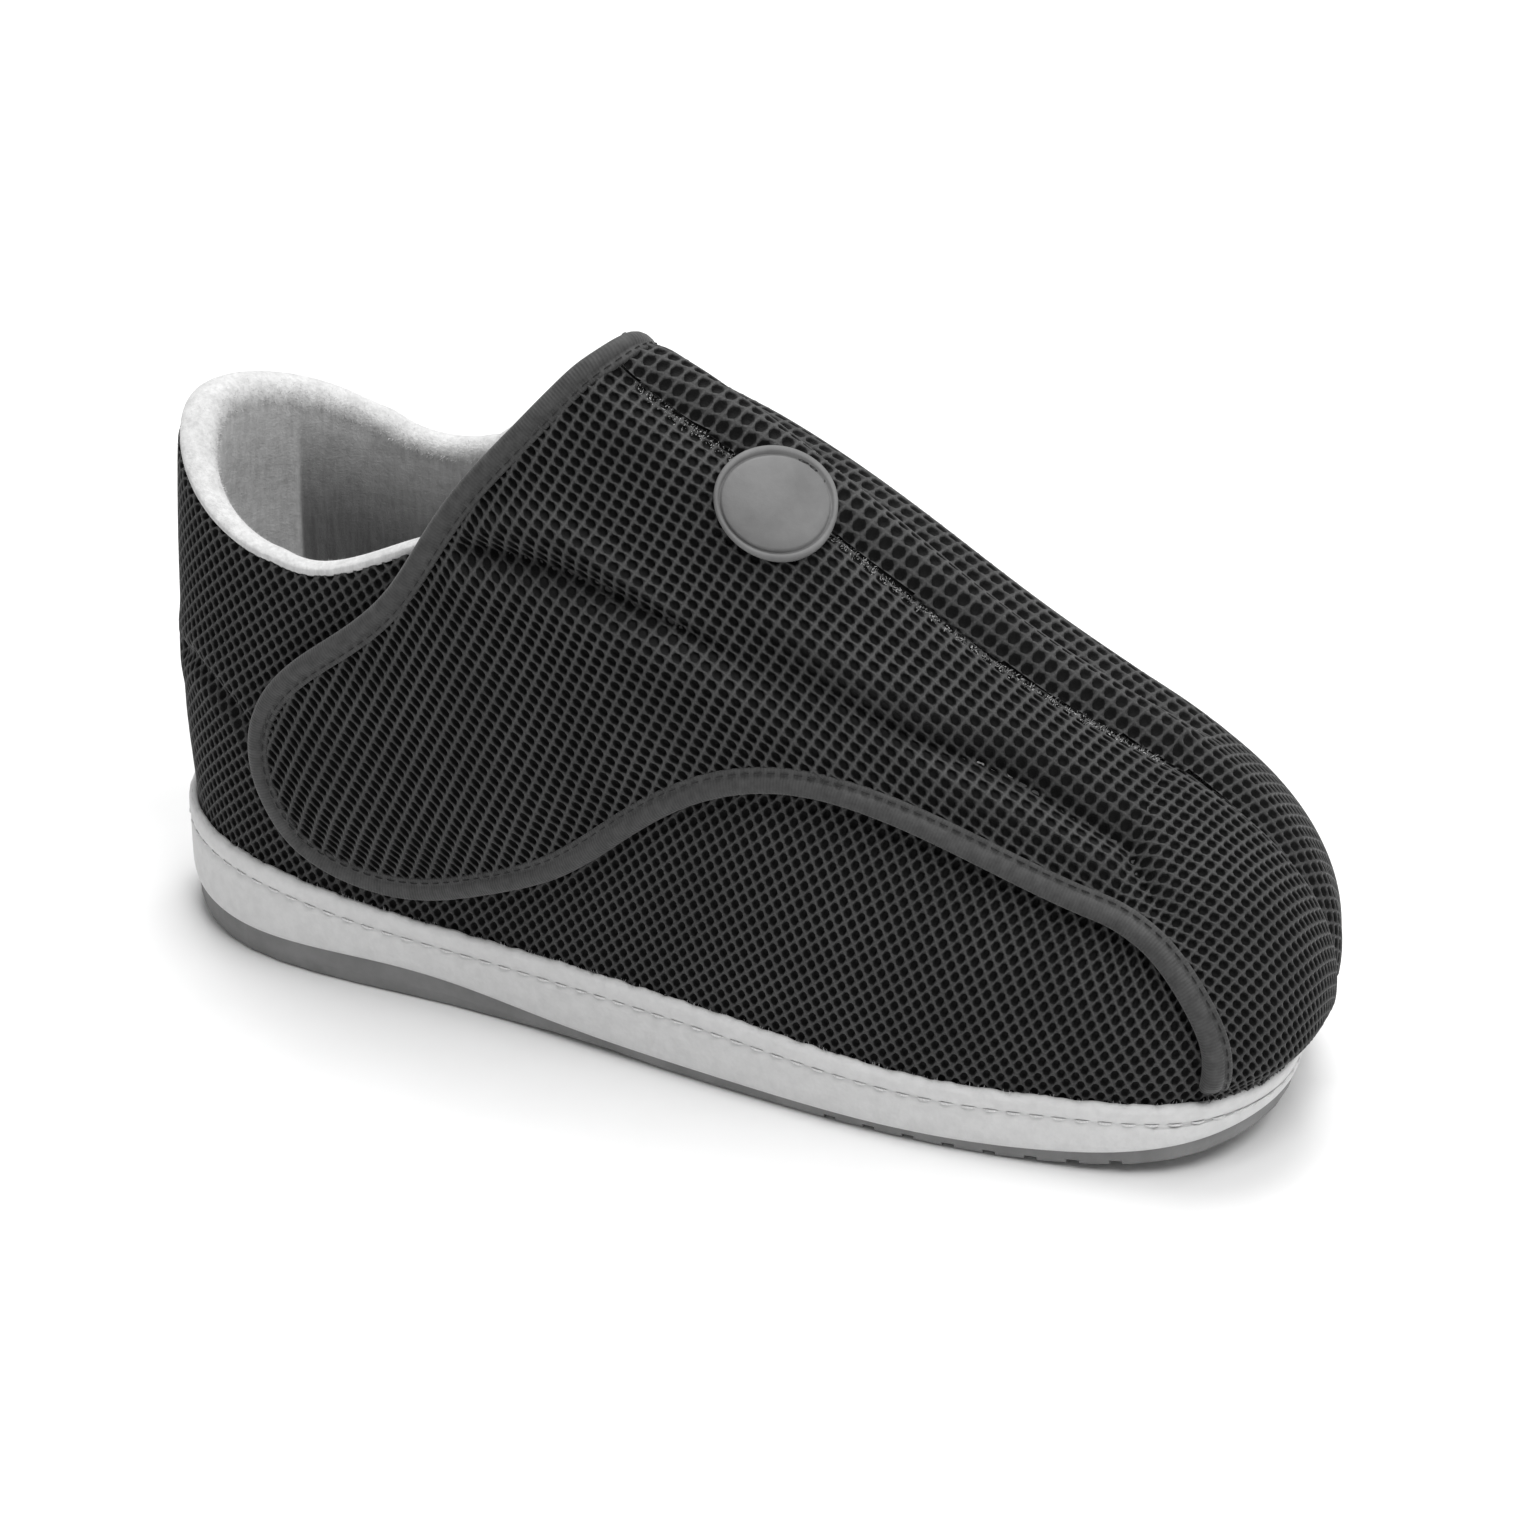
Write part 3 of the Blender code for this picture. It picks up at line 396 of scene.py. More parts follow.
def outer_walk(x):
    """The walk at which the outer side reaches x."""
    return np.interp(x, OUTLINE_TABLE[:TIP + 1, 0], WALK_TABLE[:TIP + 1])


def inner_walk(x):
    """The walk at which the inner side reaches x."""
    return np.interp(x, OUTLINE_TABLE[TIP:, 0][::-1], WALK_TABLE[TIP:][::-1])


def inset_outline(walk, inset):
    """The outline moved inwards, or outwards where the inset is below zero."""
    step = 1e-4
    ahead = unit(outline(np.asarray(walk) + step) - outline(np.asarray(walk) - step))
    inwards = np.column_stack([-ahead[:, 1], ahead[:, 0]])
    return outline(walk) + inwards * np.reshape(inset, (-1, 1))


def seam_across(x):
    """The instep seam's place across, at each x."""
    return sections(np.clip(x, HEEL_POLE, TOE_POLE))[:, 1]


def outsole_top(x):
    """The height of the outsole's top at each x."""
    return layers(x)[:, 0]


def midsole_top(x):
    """The height of the midsole's top at each x."""
    return layers(x)[:, 1]


def rib(walk, share):
    """Points of the last's surface, with no skin over it."""
    feather = inset_outline(walk, np.full(len(walk), FEATHER_INSET))
    x = np.clip(feather[:, 0], HEEL_POLE, TOE_POLE)
    rise, ridge, cross, side, roof, outer, inner = sections(x).T
    low = midsole_top(feather[:, 0])
    top = midsole_top(x) + rise
    foot = np.column_stack([x, ridge])
    reach = np.linalg.norm(feather - foot, axis=1)
    out = (feather - foot) / reach[:, None]
    ahead = np.where(out[:, 0] > 0, TOE_SLOPE * out[:, 0], 0.0)
    bulge = np.where(out[:, 1] < 0, outer, inner)
    tip = top + reach * roof * (ahead + out[:, 1] * cross)
    b0, b1 = (1 - share) ** 3, 3 * (1 - share) ** 2 * share
    b2, b3 = 3 * (1 - share) * share ** 2, share ** 3
    across = b0 * reach + b1 * (reach + bulge) + b2 * reach * roof
    height = b0 * low + b1 * (low + side * (top - low)) + b2 * tip + b3 * top
    return np.column_stack([foot + out * across[:, None], height])


def last(walk, share, skin=0.0):
    """Points at a skin's distance over the last's surface."""
    rows = (np.atleast_1d(np.asarray(value, float)) for value in (walk, share, skin))
    walk, share, skin = np.broadcast_arrays(*rows)
    return rib(walk, share) + normal(walk, share) * skin[:, None]


def slopes(walk, share):
    """How the surface moves with walk and with share."""
    inner_share = np.clip(share, 0.0, 0.995)
    along = (rib(walk + 5e-4, inner_share) - rib(walk - 5e-4, inner_share)) / 1e-3
    up = (rib(walk, inner_share + 1e-3) - rib(walk, inner_share - 1e-3)) / 2e-3
    return along, up


def normal(walk, share):
    """The way straight out of the last's surface."""
    along, up = slopes(walk, share)
    return unit(np.cross(along, up))


def share_at_rise(walk, rise):
    """How far up its rib a height over the midsole lies. The rise is in shares of the instep's rise."""
    walk, rise = np.broadcast_arrays(*(np.atleast_1d(np.asarray(v, float)) for v in (walk, rise)))
    steps = np.linspace(0.0, 1.0, 101)
    grid = rib(np.repeat(walk, len(steps)), np.tile(steps, len(walk)))[:, 2].reshape(len(walk), -1)
    return np.array([np.interp(r * INSTEP_RISE, row - row[0], steps) for r, row in zip(rise, grid)])


def lip_share(walk):
    """The share at which the wrap's lip ends."""
    return share_at_rise(walk, np.full(np.shape(walk), (WRAP_LIP + CLEARANCE) / INSTEP_RISE))


def flap_edge(count):
    """Walks and shares along the flap's free edge."""
    curve = chord_spline(np.array(FLAP_EDGE) * (EDGE_STRETCH, 1.0))
    walk, rise = (curve(np.linspace(0.0, 1.0, count)) / (EDGE_STRETCH, 1.0)).T
    return walk, share_at_rise(walk, rise)


def make_mesh(name, points, faces, material, values=None):
    """A smooth shaded mesh that rides with the shoe. Values are named numbers kept at its points."""
    mesh = bpy.data.meshes.new(name)
    mesh.from_pydata(np.asarray(points).tolist(), [], faces)
    mesh.materials.append(material)
    mesh.shade_smooth()
    for key, numbers in (values or {}).items():
        kept = mesh.attributes.new(key, "FLOAT", "POINT")
        kept.data.foreach_set("value", np.asarray(numbers, np.float32))
    obj = bpy.data.objects.new(name, mesh)
    bpy.context.scene.collection.objects.link(obj)
    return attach(obj, "root")


def grid_faces(columns, rows, close_columns=False, close_rows=False):
    """Quads of a grid whose points run column by column."""
    faces = []
    for c in range(columns if close_columns else columns - 1):
        for r in range(rows if close_rows else rows - 1):
            d, s = (c + 1) % columns, (r + 1) % rows
            faces.append((c * rows + r, d * rows + r, d * rows + s, c * rows + s))
    return faces


# Materials
class Nodes:
    """A node tree that is built up link by link."""

    def __init__(self, name):
        self.material = bpy.data.materials.new(name)
        self.material.use_nodes = True
        self.tree = self.material.node_tree
        self.shader = self.tree.nodes["Principled BSDF"]
        self.shader.inputs["Metallic"].default_value = 0.0
        self.where = self.node("ShaderNodeTexCoord").outputs["Object"]

    def node(self, kind, inputs=None, **settings):
        """A new node with its settings and inputs."""
        made = self.tree.nodes.new(kind)
        for key, value in settings.items():
            setattr(made, key, value)
        for key, value in (inputs or {}).items():
            self.put(made.inputs[key], value)
        return made

    def put(self, socket, value):
        """A link or a plain value on a socket."""
        if isinstance(value, bpy.types.NodeSocket):
            self.tree.links.new(value, socket)
        else:
            socket.default_value = value

    def math(self, operation, a, b=0.0):
        return self.node("ShaderNodeMath", {0: a, 1: b}, operation=operation).outputs[0]

    def noise(self, scale, detail=3.0, roughness=0.55, where=None):
        made = self.node("ShaderNodeTexNoise", {"Vector": where or self.where, "Scale": scale,
                                                "Detail": detail, "Roughness": roughness})
        return made.outputs["Fac"]

    def cells(self, scale):
        return self.node("ShaderNodeTexVoronoi", {"Vector": self.where, "Scale": scale}).outputs["Distance"]

    def value(self, name):
        """A named number kept at the mesh's points."""
        return self.node("ShaderNodeAttribute", attribute_name=name).outputs["Fac"]

    def blend(self, share, a, b):
        """A colour between two colours."""
        made = self.node("ShaderNodeMix", data_type="RGBA")
        self.put(made.inputs[0], share)
        self.put(made.inputs[6], a)
        self.put(made.inputs[7], b)
        return made.outputs[2]

    def bump(self, height, distance, strength=1.0, after=None):
        made = self.node("ShaderNodeBump", {"Height": height, "Distance": distance, "Strength": strength})
        if after is not None:
            self.tree.links.new(after, made.inputs["Normal"])
        return made.outputs["Normal"]

    def finish(self, colour, roughness, normal=None, sheen=0.0, sheen_roughness=0.5, gloss=0.3):
        """Sets the shader and hands over the material."""
        self.put(self.shader.inputs["Base Color"], colour)
        self.put(self.shader.inputs["Roughness"], roughness)
        if normal is not None:
            self.put(self.shader.inputs["Normal"], normal)
        self.shader.inputs["Sheen Weight"].default_value = sheen
        self.shader.inputs["Sheen Roughness"].default_value = sheen_roughness
        self.shader.inputs["Specular IOR Level"].default_value = gloss
        return self.material


def grey(value):
    """A linear grey as a colour."""
    return value, value, value, 1.0


def ramp_colour(nodes, value, low, high, start=0.0, end=1.0):
    """A colour that runs between two greys as a value does."""
    share = nodes.node("ShaderNodeMapRange", {"Value": value, "From Min": start, "From Max": end})
    return nodes.blend(share.outputs[0], grey(low), grey(high))


def knit_material(name, yarn, deep):
    """Dark knitted yarn, with a near-black painted shade down in its holes."""
    n = Nodes(name)
    fibre = n.noise(2600.0, 3.0, 0.7)
    patch = n.noise(55.0, 2.0)
    bright = n.math("ADD", n.math("MULTIPLY", fibre, 0.8), n.math("MULTIPLY", patch, 0.35))
    lit = ramp_colour(n, bright, yarn * 0.55, yarn * 1.55, 0.35, 0.85)
    # The pit's depth share paints the holes near-black: painted shade
    pit = n.node("ShaderNodeMapRange", {"Value": n.value("pit"), "From Min": 0.04, "From Max": 0.34})
    colour = n.blend(pit.outputs[0], lit, grey(deep))
    coarse = n.bump(n.noise(1500.0, 2.0), 0.00025, 0.55)
    fine = n.bump(n.cells(1900.0), 0.00012, 0.5, coarse)
    return n.finish(colour, 0.78, fine, sheen=0.12, sheen_roughness=0.45, gloss=0.25)


def fleece_material(name, light, deep=None):
    """Brushed fleece with soft clumps and fine streaks down the wall, with a darker, plainer painted shade
    where its shade value rises.
    """
    n = Nodes(name)
    streaks = n.node("ShaderNodeMapping", {"Vector": n.where, "Scale": (1.0, 1.0, 0.12)}).outputs[0]
    strand = n.noise(900.0, 3.0, 0.65, streaks)
    clump = n.noise(260.0, 4.0, 0.6)
    mixed = n.math("ADD", n.math("MULTIPLY", strand, 0.55), n.math("MULTIPLY", clump, 0.45))
    colour = ramp_colour(n, mixed, light * 0.80, min(light * 1.10, 1.0), 0.36, 0.62)
    if deep is not None:
        # A darker, plainer tone blended in by the mesh's shade value: painted shade
        plain = ramp_colour(n, strand, deep * 0.8, deep * 1.2, 0.36, 0.62)
        colour = n.blend(n.value("painted_lining_shade"), colour, plain)
    coarse = n.bump(clump, 0.0008, 0.5)
    fine = n.bump(n.noise(1700.0, 3.0, 0.7), 0.0003, 0.6, coarse)
    return n.finish(colour, 0.95, fine, sheen=0.35, sheen_roughness=0.6, gloss=0.15)


def seam_shade_material(name, tone):
    """Near-black cloth down in a seam, its tone painted shade for the seam's trough."""
    n = Nodes(name)
    fibre = n.noise(1500.0, 3.0, 0.7)
    return n.finish(ramp_colour(n, fibre, tone * 0.6, tone * 1.6, 0.35, 0.7), 0.9, n.bump(fibre, 0.0003, 0.6),
                    gloss=0.1)


def tape_material(name, tone):
    """Woven tape with fine ribs across its run."""
    n = Nodes(name)
    ribs = n.math("SINE", n.math("MULTIPLY", n.value("run"), 2 * math.pi / TAPE_RIB))
    wear = n.noise(420.0, 4.0, 0.6)
    body = n.math("ADD", n.math("MULTIPLY", ribs, 0.06), wear)
    colour = ramp_colour(n, body, tone * 0.72, tone * 1.30, 0.30, 0.75)
    coarse = n.bump(ribs, 0.00006, 0.4)
    fine = n.bump(n.noise(2400.0, 3.0, 0.7), 0.00015, 0.5, coarse)
    return n.finish(colour, 0.72, fine, sheen=0.18, sheen_roughness=0.4, gloss=0.3)


def leather_material(name, tone):
    """Pebbled synthetic leather."""
    n = Nodes(name)
    pebble = n.cells(950.0)
    soft = n.noise(330.0, 4.0, 0.6)
    colour = ramp_colour(n, soft, tone * 0.95, tone * 1.03, 0.36, 0.64)
    coarse = n.bump(soft, 0.0003, 0.45)
    fine = n.bump(pebble, 0.00018, 0.40, coarse)
    return n.finish(colour, 0.62, fine, sheen=0.05, gloss=0.35)


def rubber_material(name, tone):
    """Moulded rubber with a fine matte skin."""
    n = Nodes(name)
    skin = n.noise(1200.0, 4.0, 0.65)
    scuff = n.noise(90.0, 4.0, 0.6)
    colour = ramp_colour(n, scuff, tone * 0.88, tone * 1.12, 0.35, 0.65)
    rough = n.node("ShaderNodeMapRange", {"Value": skin, "To Min": 0.58, "To Max": 0.74}).outputs[0]
    return n.finish(colour, rough, n.bump(skin, 0.00012, 0.5), gloss=0.35)


def thread_material(name, tone):
    """Twisted thread or loose fibre."""
    n = Nodes(name)
    twist = n.noise(3000.0, 2.0)
    return n.finish(ramp_colour(n, twist, tone * 0.8, tone * 1.1, 0.3, 0.7), 0.8,
                    n.bump(twist, 0.0001, 0.5), sheen=0.1)


# The upper's surface, unrolled
DEVELOP_WALKS = np.linspace(0.0, 1.0, 401)
DEVELOP_STEPS = np.linspace(0.0, 1.0, 61)


def rib_lengths(from_seam):
    """The length along each rib at even steps of share, down from the seam or up from the feather."""
    count = len(DEVELOP_STEPS)
    shares = 1 - DEVELOP_STEPS if from_seam else DEVELOP_STEPS
    grid = rib(np.repeat(DEVELOP_WALKS, count), np.tile(shares, len(DEVELOP_WALKS)))
    grid = grid.reshape(len(DEVELOP_WALKS), count, 3)
    return np.concatenate([np.zeros((len(DEVELOP_WALKS), 1)),
                           np.cumsum(np.linalg.norm(np.diff(grid, axis=1), axis=2), axis=1)], axis=1)


def rib_plan(walk):
    """Each rib's foot on the instep seam, seen from above, and its direction out to the feather."""
    feather = inset_outline(walk, np.full(len(walk), FEATHER_INSET))
    x = np.clip(feather[:, 0], HEEL_POLE, TOE_POLE)
    foot = np.column_stack([x, seam_across(x)])
    return foot, unit(feather - foot)


def share_at_length(walk, length, table):
    """How far along its rib, by the table's steps, each length lies."""
    rows = rows_at(walk, table)
    step = np.clip((rows < length[:, None]).sum(1), 1, rows.shape[1] - 1)
    pick = np.arange(len(walk))
    start, stop = rows[pick, step - 1], rows[pick, step]
    part = np.clip((length - start) / np.maximum(stop - start, 1e-12), 0, 1)
    return DEVELOP_STEPS[step - 1] + part * (DEVELOP_STEPS[step] - DEVELOP_STEPS[step - 1])


SEAM_TABLE = rib_lengths(True)
FEATHER_TABLE = rib_lengths(False)
FEATHER_PLAN = inset_outline(DEVELOP_WALKS, np.full(len(DEVELOP_WALKS), FEATHER_INSET))
FEATHER_RUN = run_along(FEATHER_PLAN)
ROUND = float(FEATHER_RUN[-1])


def from_plane(points):
    """Walks and shares of points on the plane that the upper unrolls on, with each rib a straight line."""
    seam = seam_across(points[:, 0])
    tip = int(np.argmax(FEATHER_PLAN[:, 0]))
    outer = np.interp(points[:, 0], FEATHER_PLAN[:tip, 0], DEVELOP_WALKS[:tip])
    inner = np.interp(points[:, 0], FEATHER_PLAN[tip:, 0][::-1], DEVELOP_WALKS[tip:][::-1])
    walk = np.where(points[:, 1] < seam, outer, inner)
    for pole, beyond in ((TOE_POLE, points[:, 0] > TOE_POLE), (HEEL_POLE, points[:, 0] < HEEL_POLE)):
        foot = np.array([pole, float(seam_across([pole])[0])])
        off, way = points - foot, FEATHER_PLAN - foot
        angles = np.unwrap(np.arctan2(way[:, 0], -way[:, 1]))
        turn = np.arctan2(off[:, 0], -off[:, 1])
        if pole == HEEL_POLE:
            turn = np.where(turn < angles[0], turn + 2 * np.pi, turn)
        walk = np.where(beyond, np.interp(turn, angles, DEVELOP_WALKS), walk)
    foot, out = rib_plan(walk)
    length = np.maximum(((points - foot) * out).sum(1), 0.0)
    return walk, 1 - share_at_length(walk, length, SEAM_TABLE)


def on_side(points, side):
    """Points of the plane brought back to one side of the instep seam: -1 for the outer, 1 for the inner."""
    seam = seam_across(points[:, 0])
    off = (points[:, 1] - seam) * side
    off = np.where(points[:, 0] < TOE_POLE, np.maximum(off, 1e-6), off)
    return np.column_stack([points[:, 0], seam + off * side])


def from_belt(points):
    """Walks and shares of points on a belt: the way round the feather line, and the length up the rib."""
    walk = np.interp(points[:, 0] % ROUND, FEATHER_RUN, DEVELOP_WALKS)
    return walk, share_at_length(walk, points[:, 1], FEATHER_TABLE)


def to_plane(walk, share):
    """Where walks and shares fall on the unrolled plane."""
    foot, out = rib_plan(walk)
    length = [np.interp(1 - s, DEVELOP_STEPS, row) for s, row in zip(share, rows_at(walk, SEAM_TABLE))]
    return foot + out * np.reshape(length, (-1, 1))


def rows_at(walk, table):
    """A table's rows at each walk, between the walks that it holds."""
    index = np.interp(walk, DEVELOP_WALKS, np.arange(len(DEVELOP_WALKS)))
    low = np.minimum(index.astype(int), len(DEVELOP_WALKS) - 2)
    part = (index - low)[:, None]
    return table[low] * (1 - part) + table[low + 1] * part


def near_line(points, line):
    """The distance from each point to a polyline."""
    a, b = line[:-1], line[1:]
    d = b - a
    square = np.maximum((d * d).sum(-1), 1e-15)
    result = []
    for p in np.array_split(np.asarray(points, float), len(points) // 8000 + 1):
        off = p[:, None] - a
        t = np.clip((off * d).sum(-1) / square, 0, 1)
        result.append(np.linalg.norm(off - t[..., None] * d, axis=-1).min(1))
    return np.concatenate(result)


def inside_polygon(points, ring):
    """Which points of the plane a closed border holds."""
    x, y = points[:, 0][:, None], points[:, 1][:, None]
    a, b = ring[:-1], ring[1:]
    spans = (a[:, 1] > y) != (b[:, 1] > y)
    rise = np.where(a[:, 1] == b[:, 1], 1.0, b[:, 1] - a[:, 1])
    cross = a[:, 0] + (y - a[:, 1]) / rise * (b[:, 0] - a[:, 0])
    return (spans & (x < cross)).sum(1) % 2 == 1


# The relief of the padded panels
HEEL_FOLD = rib(*np.array(HEEL_CREASE).T)
collar_share = spline([row[0] for row in COLLAR], [row[1] for row in COLLAR])
SEAM_LINE = np.vstack([rib(outer_walk(np.linspace(HEEL_POLE, TOE_POLE, 120)), np.ones(120)),
                       rib(np.full(30, FLAP_END), np.linspace(0.99, 0.0, 30))])


def top_share(walk):
    """The share at which the upper's own wall ends."""
    turn = np.where(walk > FLAP_END + 0.1, walk - 1.0, walk)
    top = np.clip(collar_share(np.clip(turn, COLLAR[0][0], COLLAR[-1][0]))[:, 0], 0.0, 1.0)
    return np.where((walk >= FLAP_END) & (walk <= VAMP_REAR), 1.0, top)


def under_wall(walk):
    """How far the upper's inner face lies under the last's surface, padded at the heel and thin at the toe."""
    turn = walk % 1.0
    outer_fade = smooth((turn - 0.30) / 0.12)
    inner_fade = smooth((0.88 - turn) / 0.16)
    return PAD_WALL + (TOE_WALL - PAD_WALL) * np.minimum(outer_fade, inner_fade)


def vamp_lift(walk, share):
    """How far the inner side stands over the last: level with the flap at the seam, and flush elsewhere."""
    turn = walk % 1.0
    ramp = 0.05 + 0.45 * smooth((turn - FLAP_END) / 0.12)
    rear = 1 - smooth((turn - VAMP_REAR) / 0.10)
    rise = smooth((share - lip_share(walk)) / ramp)
    return np.where(turn >= FLAP_END, FLAP_LIFT * rise * rear, 0.0)


def seam_dip(distance):
    """How deep the instep seam pulls the surface in."""
    return SEAM_DIP * np.exp(-(distance / SEAM_HALF) ** 2)


def panel_puff(distance):
    """How far the padding swells, away from a seam."""
    return PANEL_PUFF * smooth(distance / PUFF_REACH)


def foot_taper(walk, share):
    """The flap thins down to the band's lip."""
    return 0.3 + 0.7 * smooth((share - lip_share(walk)) / 0.09)


def quilt_seam():
    """Walks and shares along the flap's quilting seam."""
    curve = chord_spline(np.array(QUILT_SEAM) * (EDGE_STRETCH, 1.0))
    walk, rise = (curve(np.linspace(0.0, 1.0, 100)) / (EDGE_STRETCH, 1.0)).T
    return walk, share_at_rise(walk, rise)


QUILT_WALK, QUILT_SHARE = quilt_seam()
QUILT_LINE = rib(QUILT_WALK, QUILT_SHARE)
EDGE_WALK, EDGE_SHARE = flap_edge(240)
EDGE_LINE = rib(EDGE_WALK, EDGE_SHARE)


def roll(distance, far, wide):
    """A soft roll that runs along a seam, highest at a distance from it."""
    return np.exp(-((distance - far) / wide) ** 2)


def trough(distance):
    """The deep fold of the quilting seam, with a narrow core."""
    return FOLD_DEPTH * roll(distance, 0.0, FOLD_HALF) + FOLD_CORE * roll(distance, 0.0, FOLD_CORE_HALF)


def seam_relief(distance):
    """The instep seam's dip and the rolls on both sides of it."""
    return 0.45 * ROLL_RISE * roll(distance, *SEAM_ROLL) - 1.3 * seam_dip(distance)


def panel_split(walk):
    """The shallow groove where the inner side's knit meets the heel's."""
    return SPLIT_DIP * roll((walk - VAMP_SPLIT) * ROUND, 0.0, SPLIT_HALF)


def flap_skin(walk, share):
    """How far the flap's knit lies over the last."""
    bare = rib(walk, share)
    quilt, seam, edge = (near_line(bare, line) for line in (QUILT_LINE, SEAM_LINE, TAPED_LINE))
    above = share > np.interp(walk, QUILT_WALK, QUILT_SHARE)
    puff = panel_puff(np.minimum(quilt, np.maximum(edge - 0.003, 0)))
    quilt_roll = np.where(above, 1.0, 0.75) * ROLL_RISE * roll(quilt, *QUILT_ROLL)
    slack = SLACK * np.sin(walk * 74 + share * 9) * smooth(quilt / 0.02) * smooth(seam / 0.02)
    end, reach = FOLD_FADE
    fade = smooth((edge - 0.002) / 0.008) * smooth((end - walk) / reach)
    relief = (quilt_roll - trough(quilt)) * fade + (puff + slack) * smooth(seam / PUFF_REACH)
    relief += seam_relief(seam) * smooth(edge / TAPE_CLEAR)
    return np.maximum(FLAP_LIFT + relief, LEAST_SKIN) * foot_taper(walk, share)


def vamp_skin(walk, share):
    """How far the inner side's knit lies over the last."""
    bare = rib(walk, share)
    seam, edge = near_line(bare, SEAM_LINE), near_line(bare, TAPED_LINE)
    fold = np.abs(seam - INNER_FOLD)
    ahead = smooth((VAMP_REAR - walk) / 0.05) * smooth((walk - 0.560) / 0.05)
    inner = ahead * (0.6 * ROLL_RISE * roll(fold, *INNER_ROLL) - 0.62 * trough(fold))
    relief = 0.6 * panel_puff(seam) * smooth((walk - FLAP_END) / 0.03) + seam_relief(seam)
    relief *= smooth(np.where(walk > 0.7, edge, TAPE_CLEAR) / TAPE_CLEAR)
    relief = (relief * smooth((VAMP_REAR + 0.01 - walk) / 0.03) + inner) / FLAP_LIFT
    return vamp_lift(walk, share) * (1 + relief) - panel_split(walk)


def quarter_skin(walk, share):
    """How far the knit of the heel and the outer quarter lies over the last."""
    turn = walk % 1.0
    behind = np.minimum(turn, 1.0 - turn)
    swell = HEEL_SWELL * smooth(1 - behind / 0.10) * smooth(share / 0.10)
    crease = near_line(rib(turn, share), HEEL_FOLD)
    swell = swell + CREASE_LIP * roll(crease, *CREASE_ROLL) - CREASE_DEPTH * roll(crease, 0.0, CREASE_HALF)
    return np.where(turn >= VAMP_SPLIT - 0.01, vamp_lift(walk, share), 0.0) - panel_split(turn) + swell


# The cover's border on the plane
def peak_path():
    """The bound edge over the instep's peak, from the outer side over the seam to the throat's inner edge."""
    keep = EDGE_SHARE < PEAK_START
    edge = to_plane(EDGE_WALK[keep][:12:4], EDGE_SHARE[keep][:12:4])[::-1]
    top = to_plane(np.array(PEAK_WALKS), np.array(PEAK_SHARES))
    curve = chord_spline(np.vstack([edge, top]))
    return curve(np.linspace(0.0, 1.0, 90))


def flap_ring():
    """The flap's outline on the plane: free edge, foot round the toe, and instep seam."""
    keep = EDGE_SHARE < PEAK_START
    edge = np.vstack([to_plane(EDGE_WALK[keep], EDGE_SHARE[keep])[::-1], PEAK_PATH])
    edge = edge[edge[:, 1] < seam_across(edge[:, 0])][::-1]
    foot_walk = np.linspace(EDGE_WALK[-1], FLAP_END, 40)
    foot = to_plane(foot_walk, np.zeros(40))
    seam_x = np.linspace(TOE_POLE, edge[0, 0], 60)
    seam = np.column_stack([seam_x, seam_across(seam_x)])
    ring = np.vstack([edge, foot, seam])
    return np.vstack([ring, ring[:1]])


PEAK_PATH = peak_path()
FLAP_RING = flap_ring()
PEAK_WALK, PEAK_SHARE = from_plane(PEAK_PATH)
TAPED_LINE = np.vstack([EDGE_LINE[EDGE_SHARE < PEAK_START], rib(PEAK_WALK, PEAK_SHARE)])


# Knitted cells
def turned(points, angle):
    """Points of the plane turned about its origin."""
    c, s = math.cos(angle), math.sin(angle)
    return points @ np.array([(c, s), (-s, c)])


def knit(name, centres, to_surface, hold, lay, material, turn):
    """Rounded yarn round a pit at each centre. Neighbouring cells share the points of their borders."""
    a = np.array([CELL_ALONG, 0.0]) / 2
    b = np.array([CELL_LEAN, CELL_ACROSS]) / 2
    border = np.array([a, a + b, b, b - a, -a, -a - b, -b, a - b])
    angle = np.arctan2(border[:, 1], border[:, 0]) - HOLE_TURN
    hole = np.column_stack([np.cos(angle) * HOLE_LONG, np.sin(angle) * HOLE_SHORT]) * CELL_ALONG / 2
    hole = turned(turned(hole, HOLE_TURN), turn)
    count = len(centres)
    edge = (centres[:, None] + turned(border, turn)).reshape(-1, 2)
    _, first, back = np.unique(np.round(edge / WELD).astype(int), axis=0, return_index=True,
                               return_inverse=True)
    shared = edge[first]
    inner = np.concatenate([(centres[:, None] + hole * share).reshape(-1, 2) for share, _ in HOLE_STEPS])
    flat = np.vstack([shared, inner, centres])
    depth = np.concatenate([np.zeros(len(shared))]
                           + [np.full(count * KNIT_SIDES, deep) for _, deep in HOLE_STEPS]
                           + [np.ones(count)])
    points = lay(*hold(*to_surface(flat)), depth)
    rows = [np.asarray(back).reshape(count, KNIT_SIDES)]
    start = len(shared)
    for _ in HOLE_STEPS:
        rows.append(start + np.arange(count * KNIT_SIDES).reshape(count, KNIT_SIDES))
        start += count * KNIT_SIDES
    middle = start + np.arange(count)
    faces = []
    for low, high in zip(rows[:-1], rows[1:]):
        quads = np.stack([low, np.roll(low, -1, axis=1), np.roll(high, -1, axis=1), high], axis=-1)
        faces += quads.reshape(-1, 4).tolist()
    fans = np.stack([rows[-1], np.roll(rows[-1], -1, axis=1), np.repeat(middle[:, None], KNIT_SIDES, 1)],
                    axis=-1)
    faces += fans.reshape(-1, 3).tolist()
    return make_mesh(name, points, faces, material, {"pit": depth})


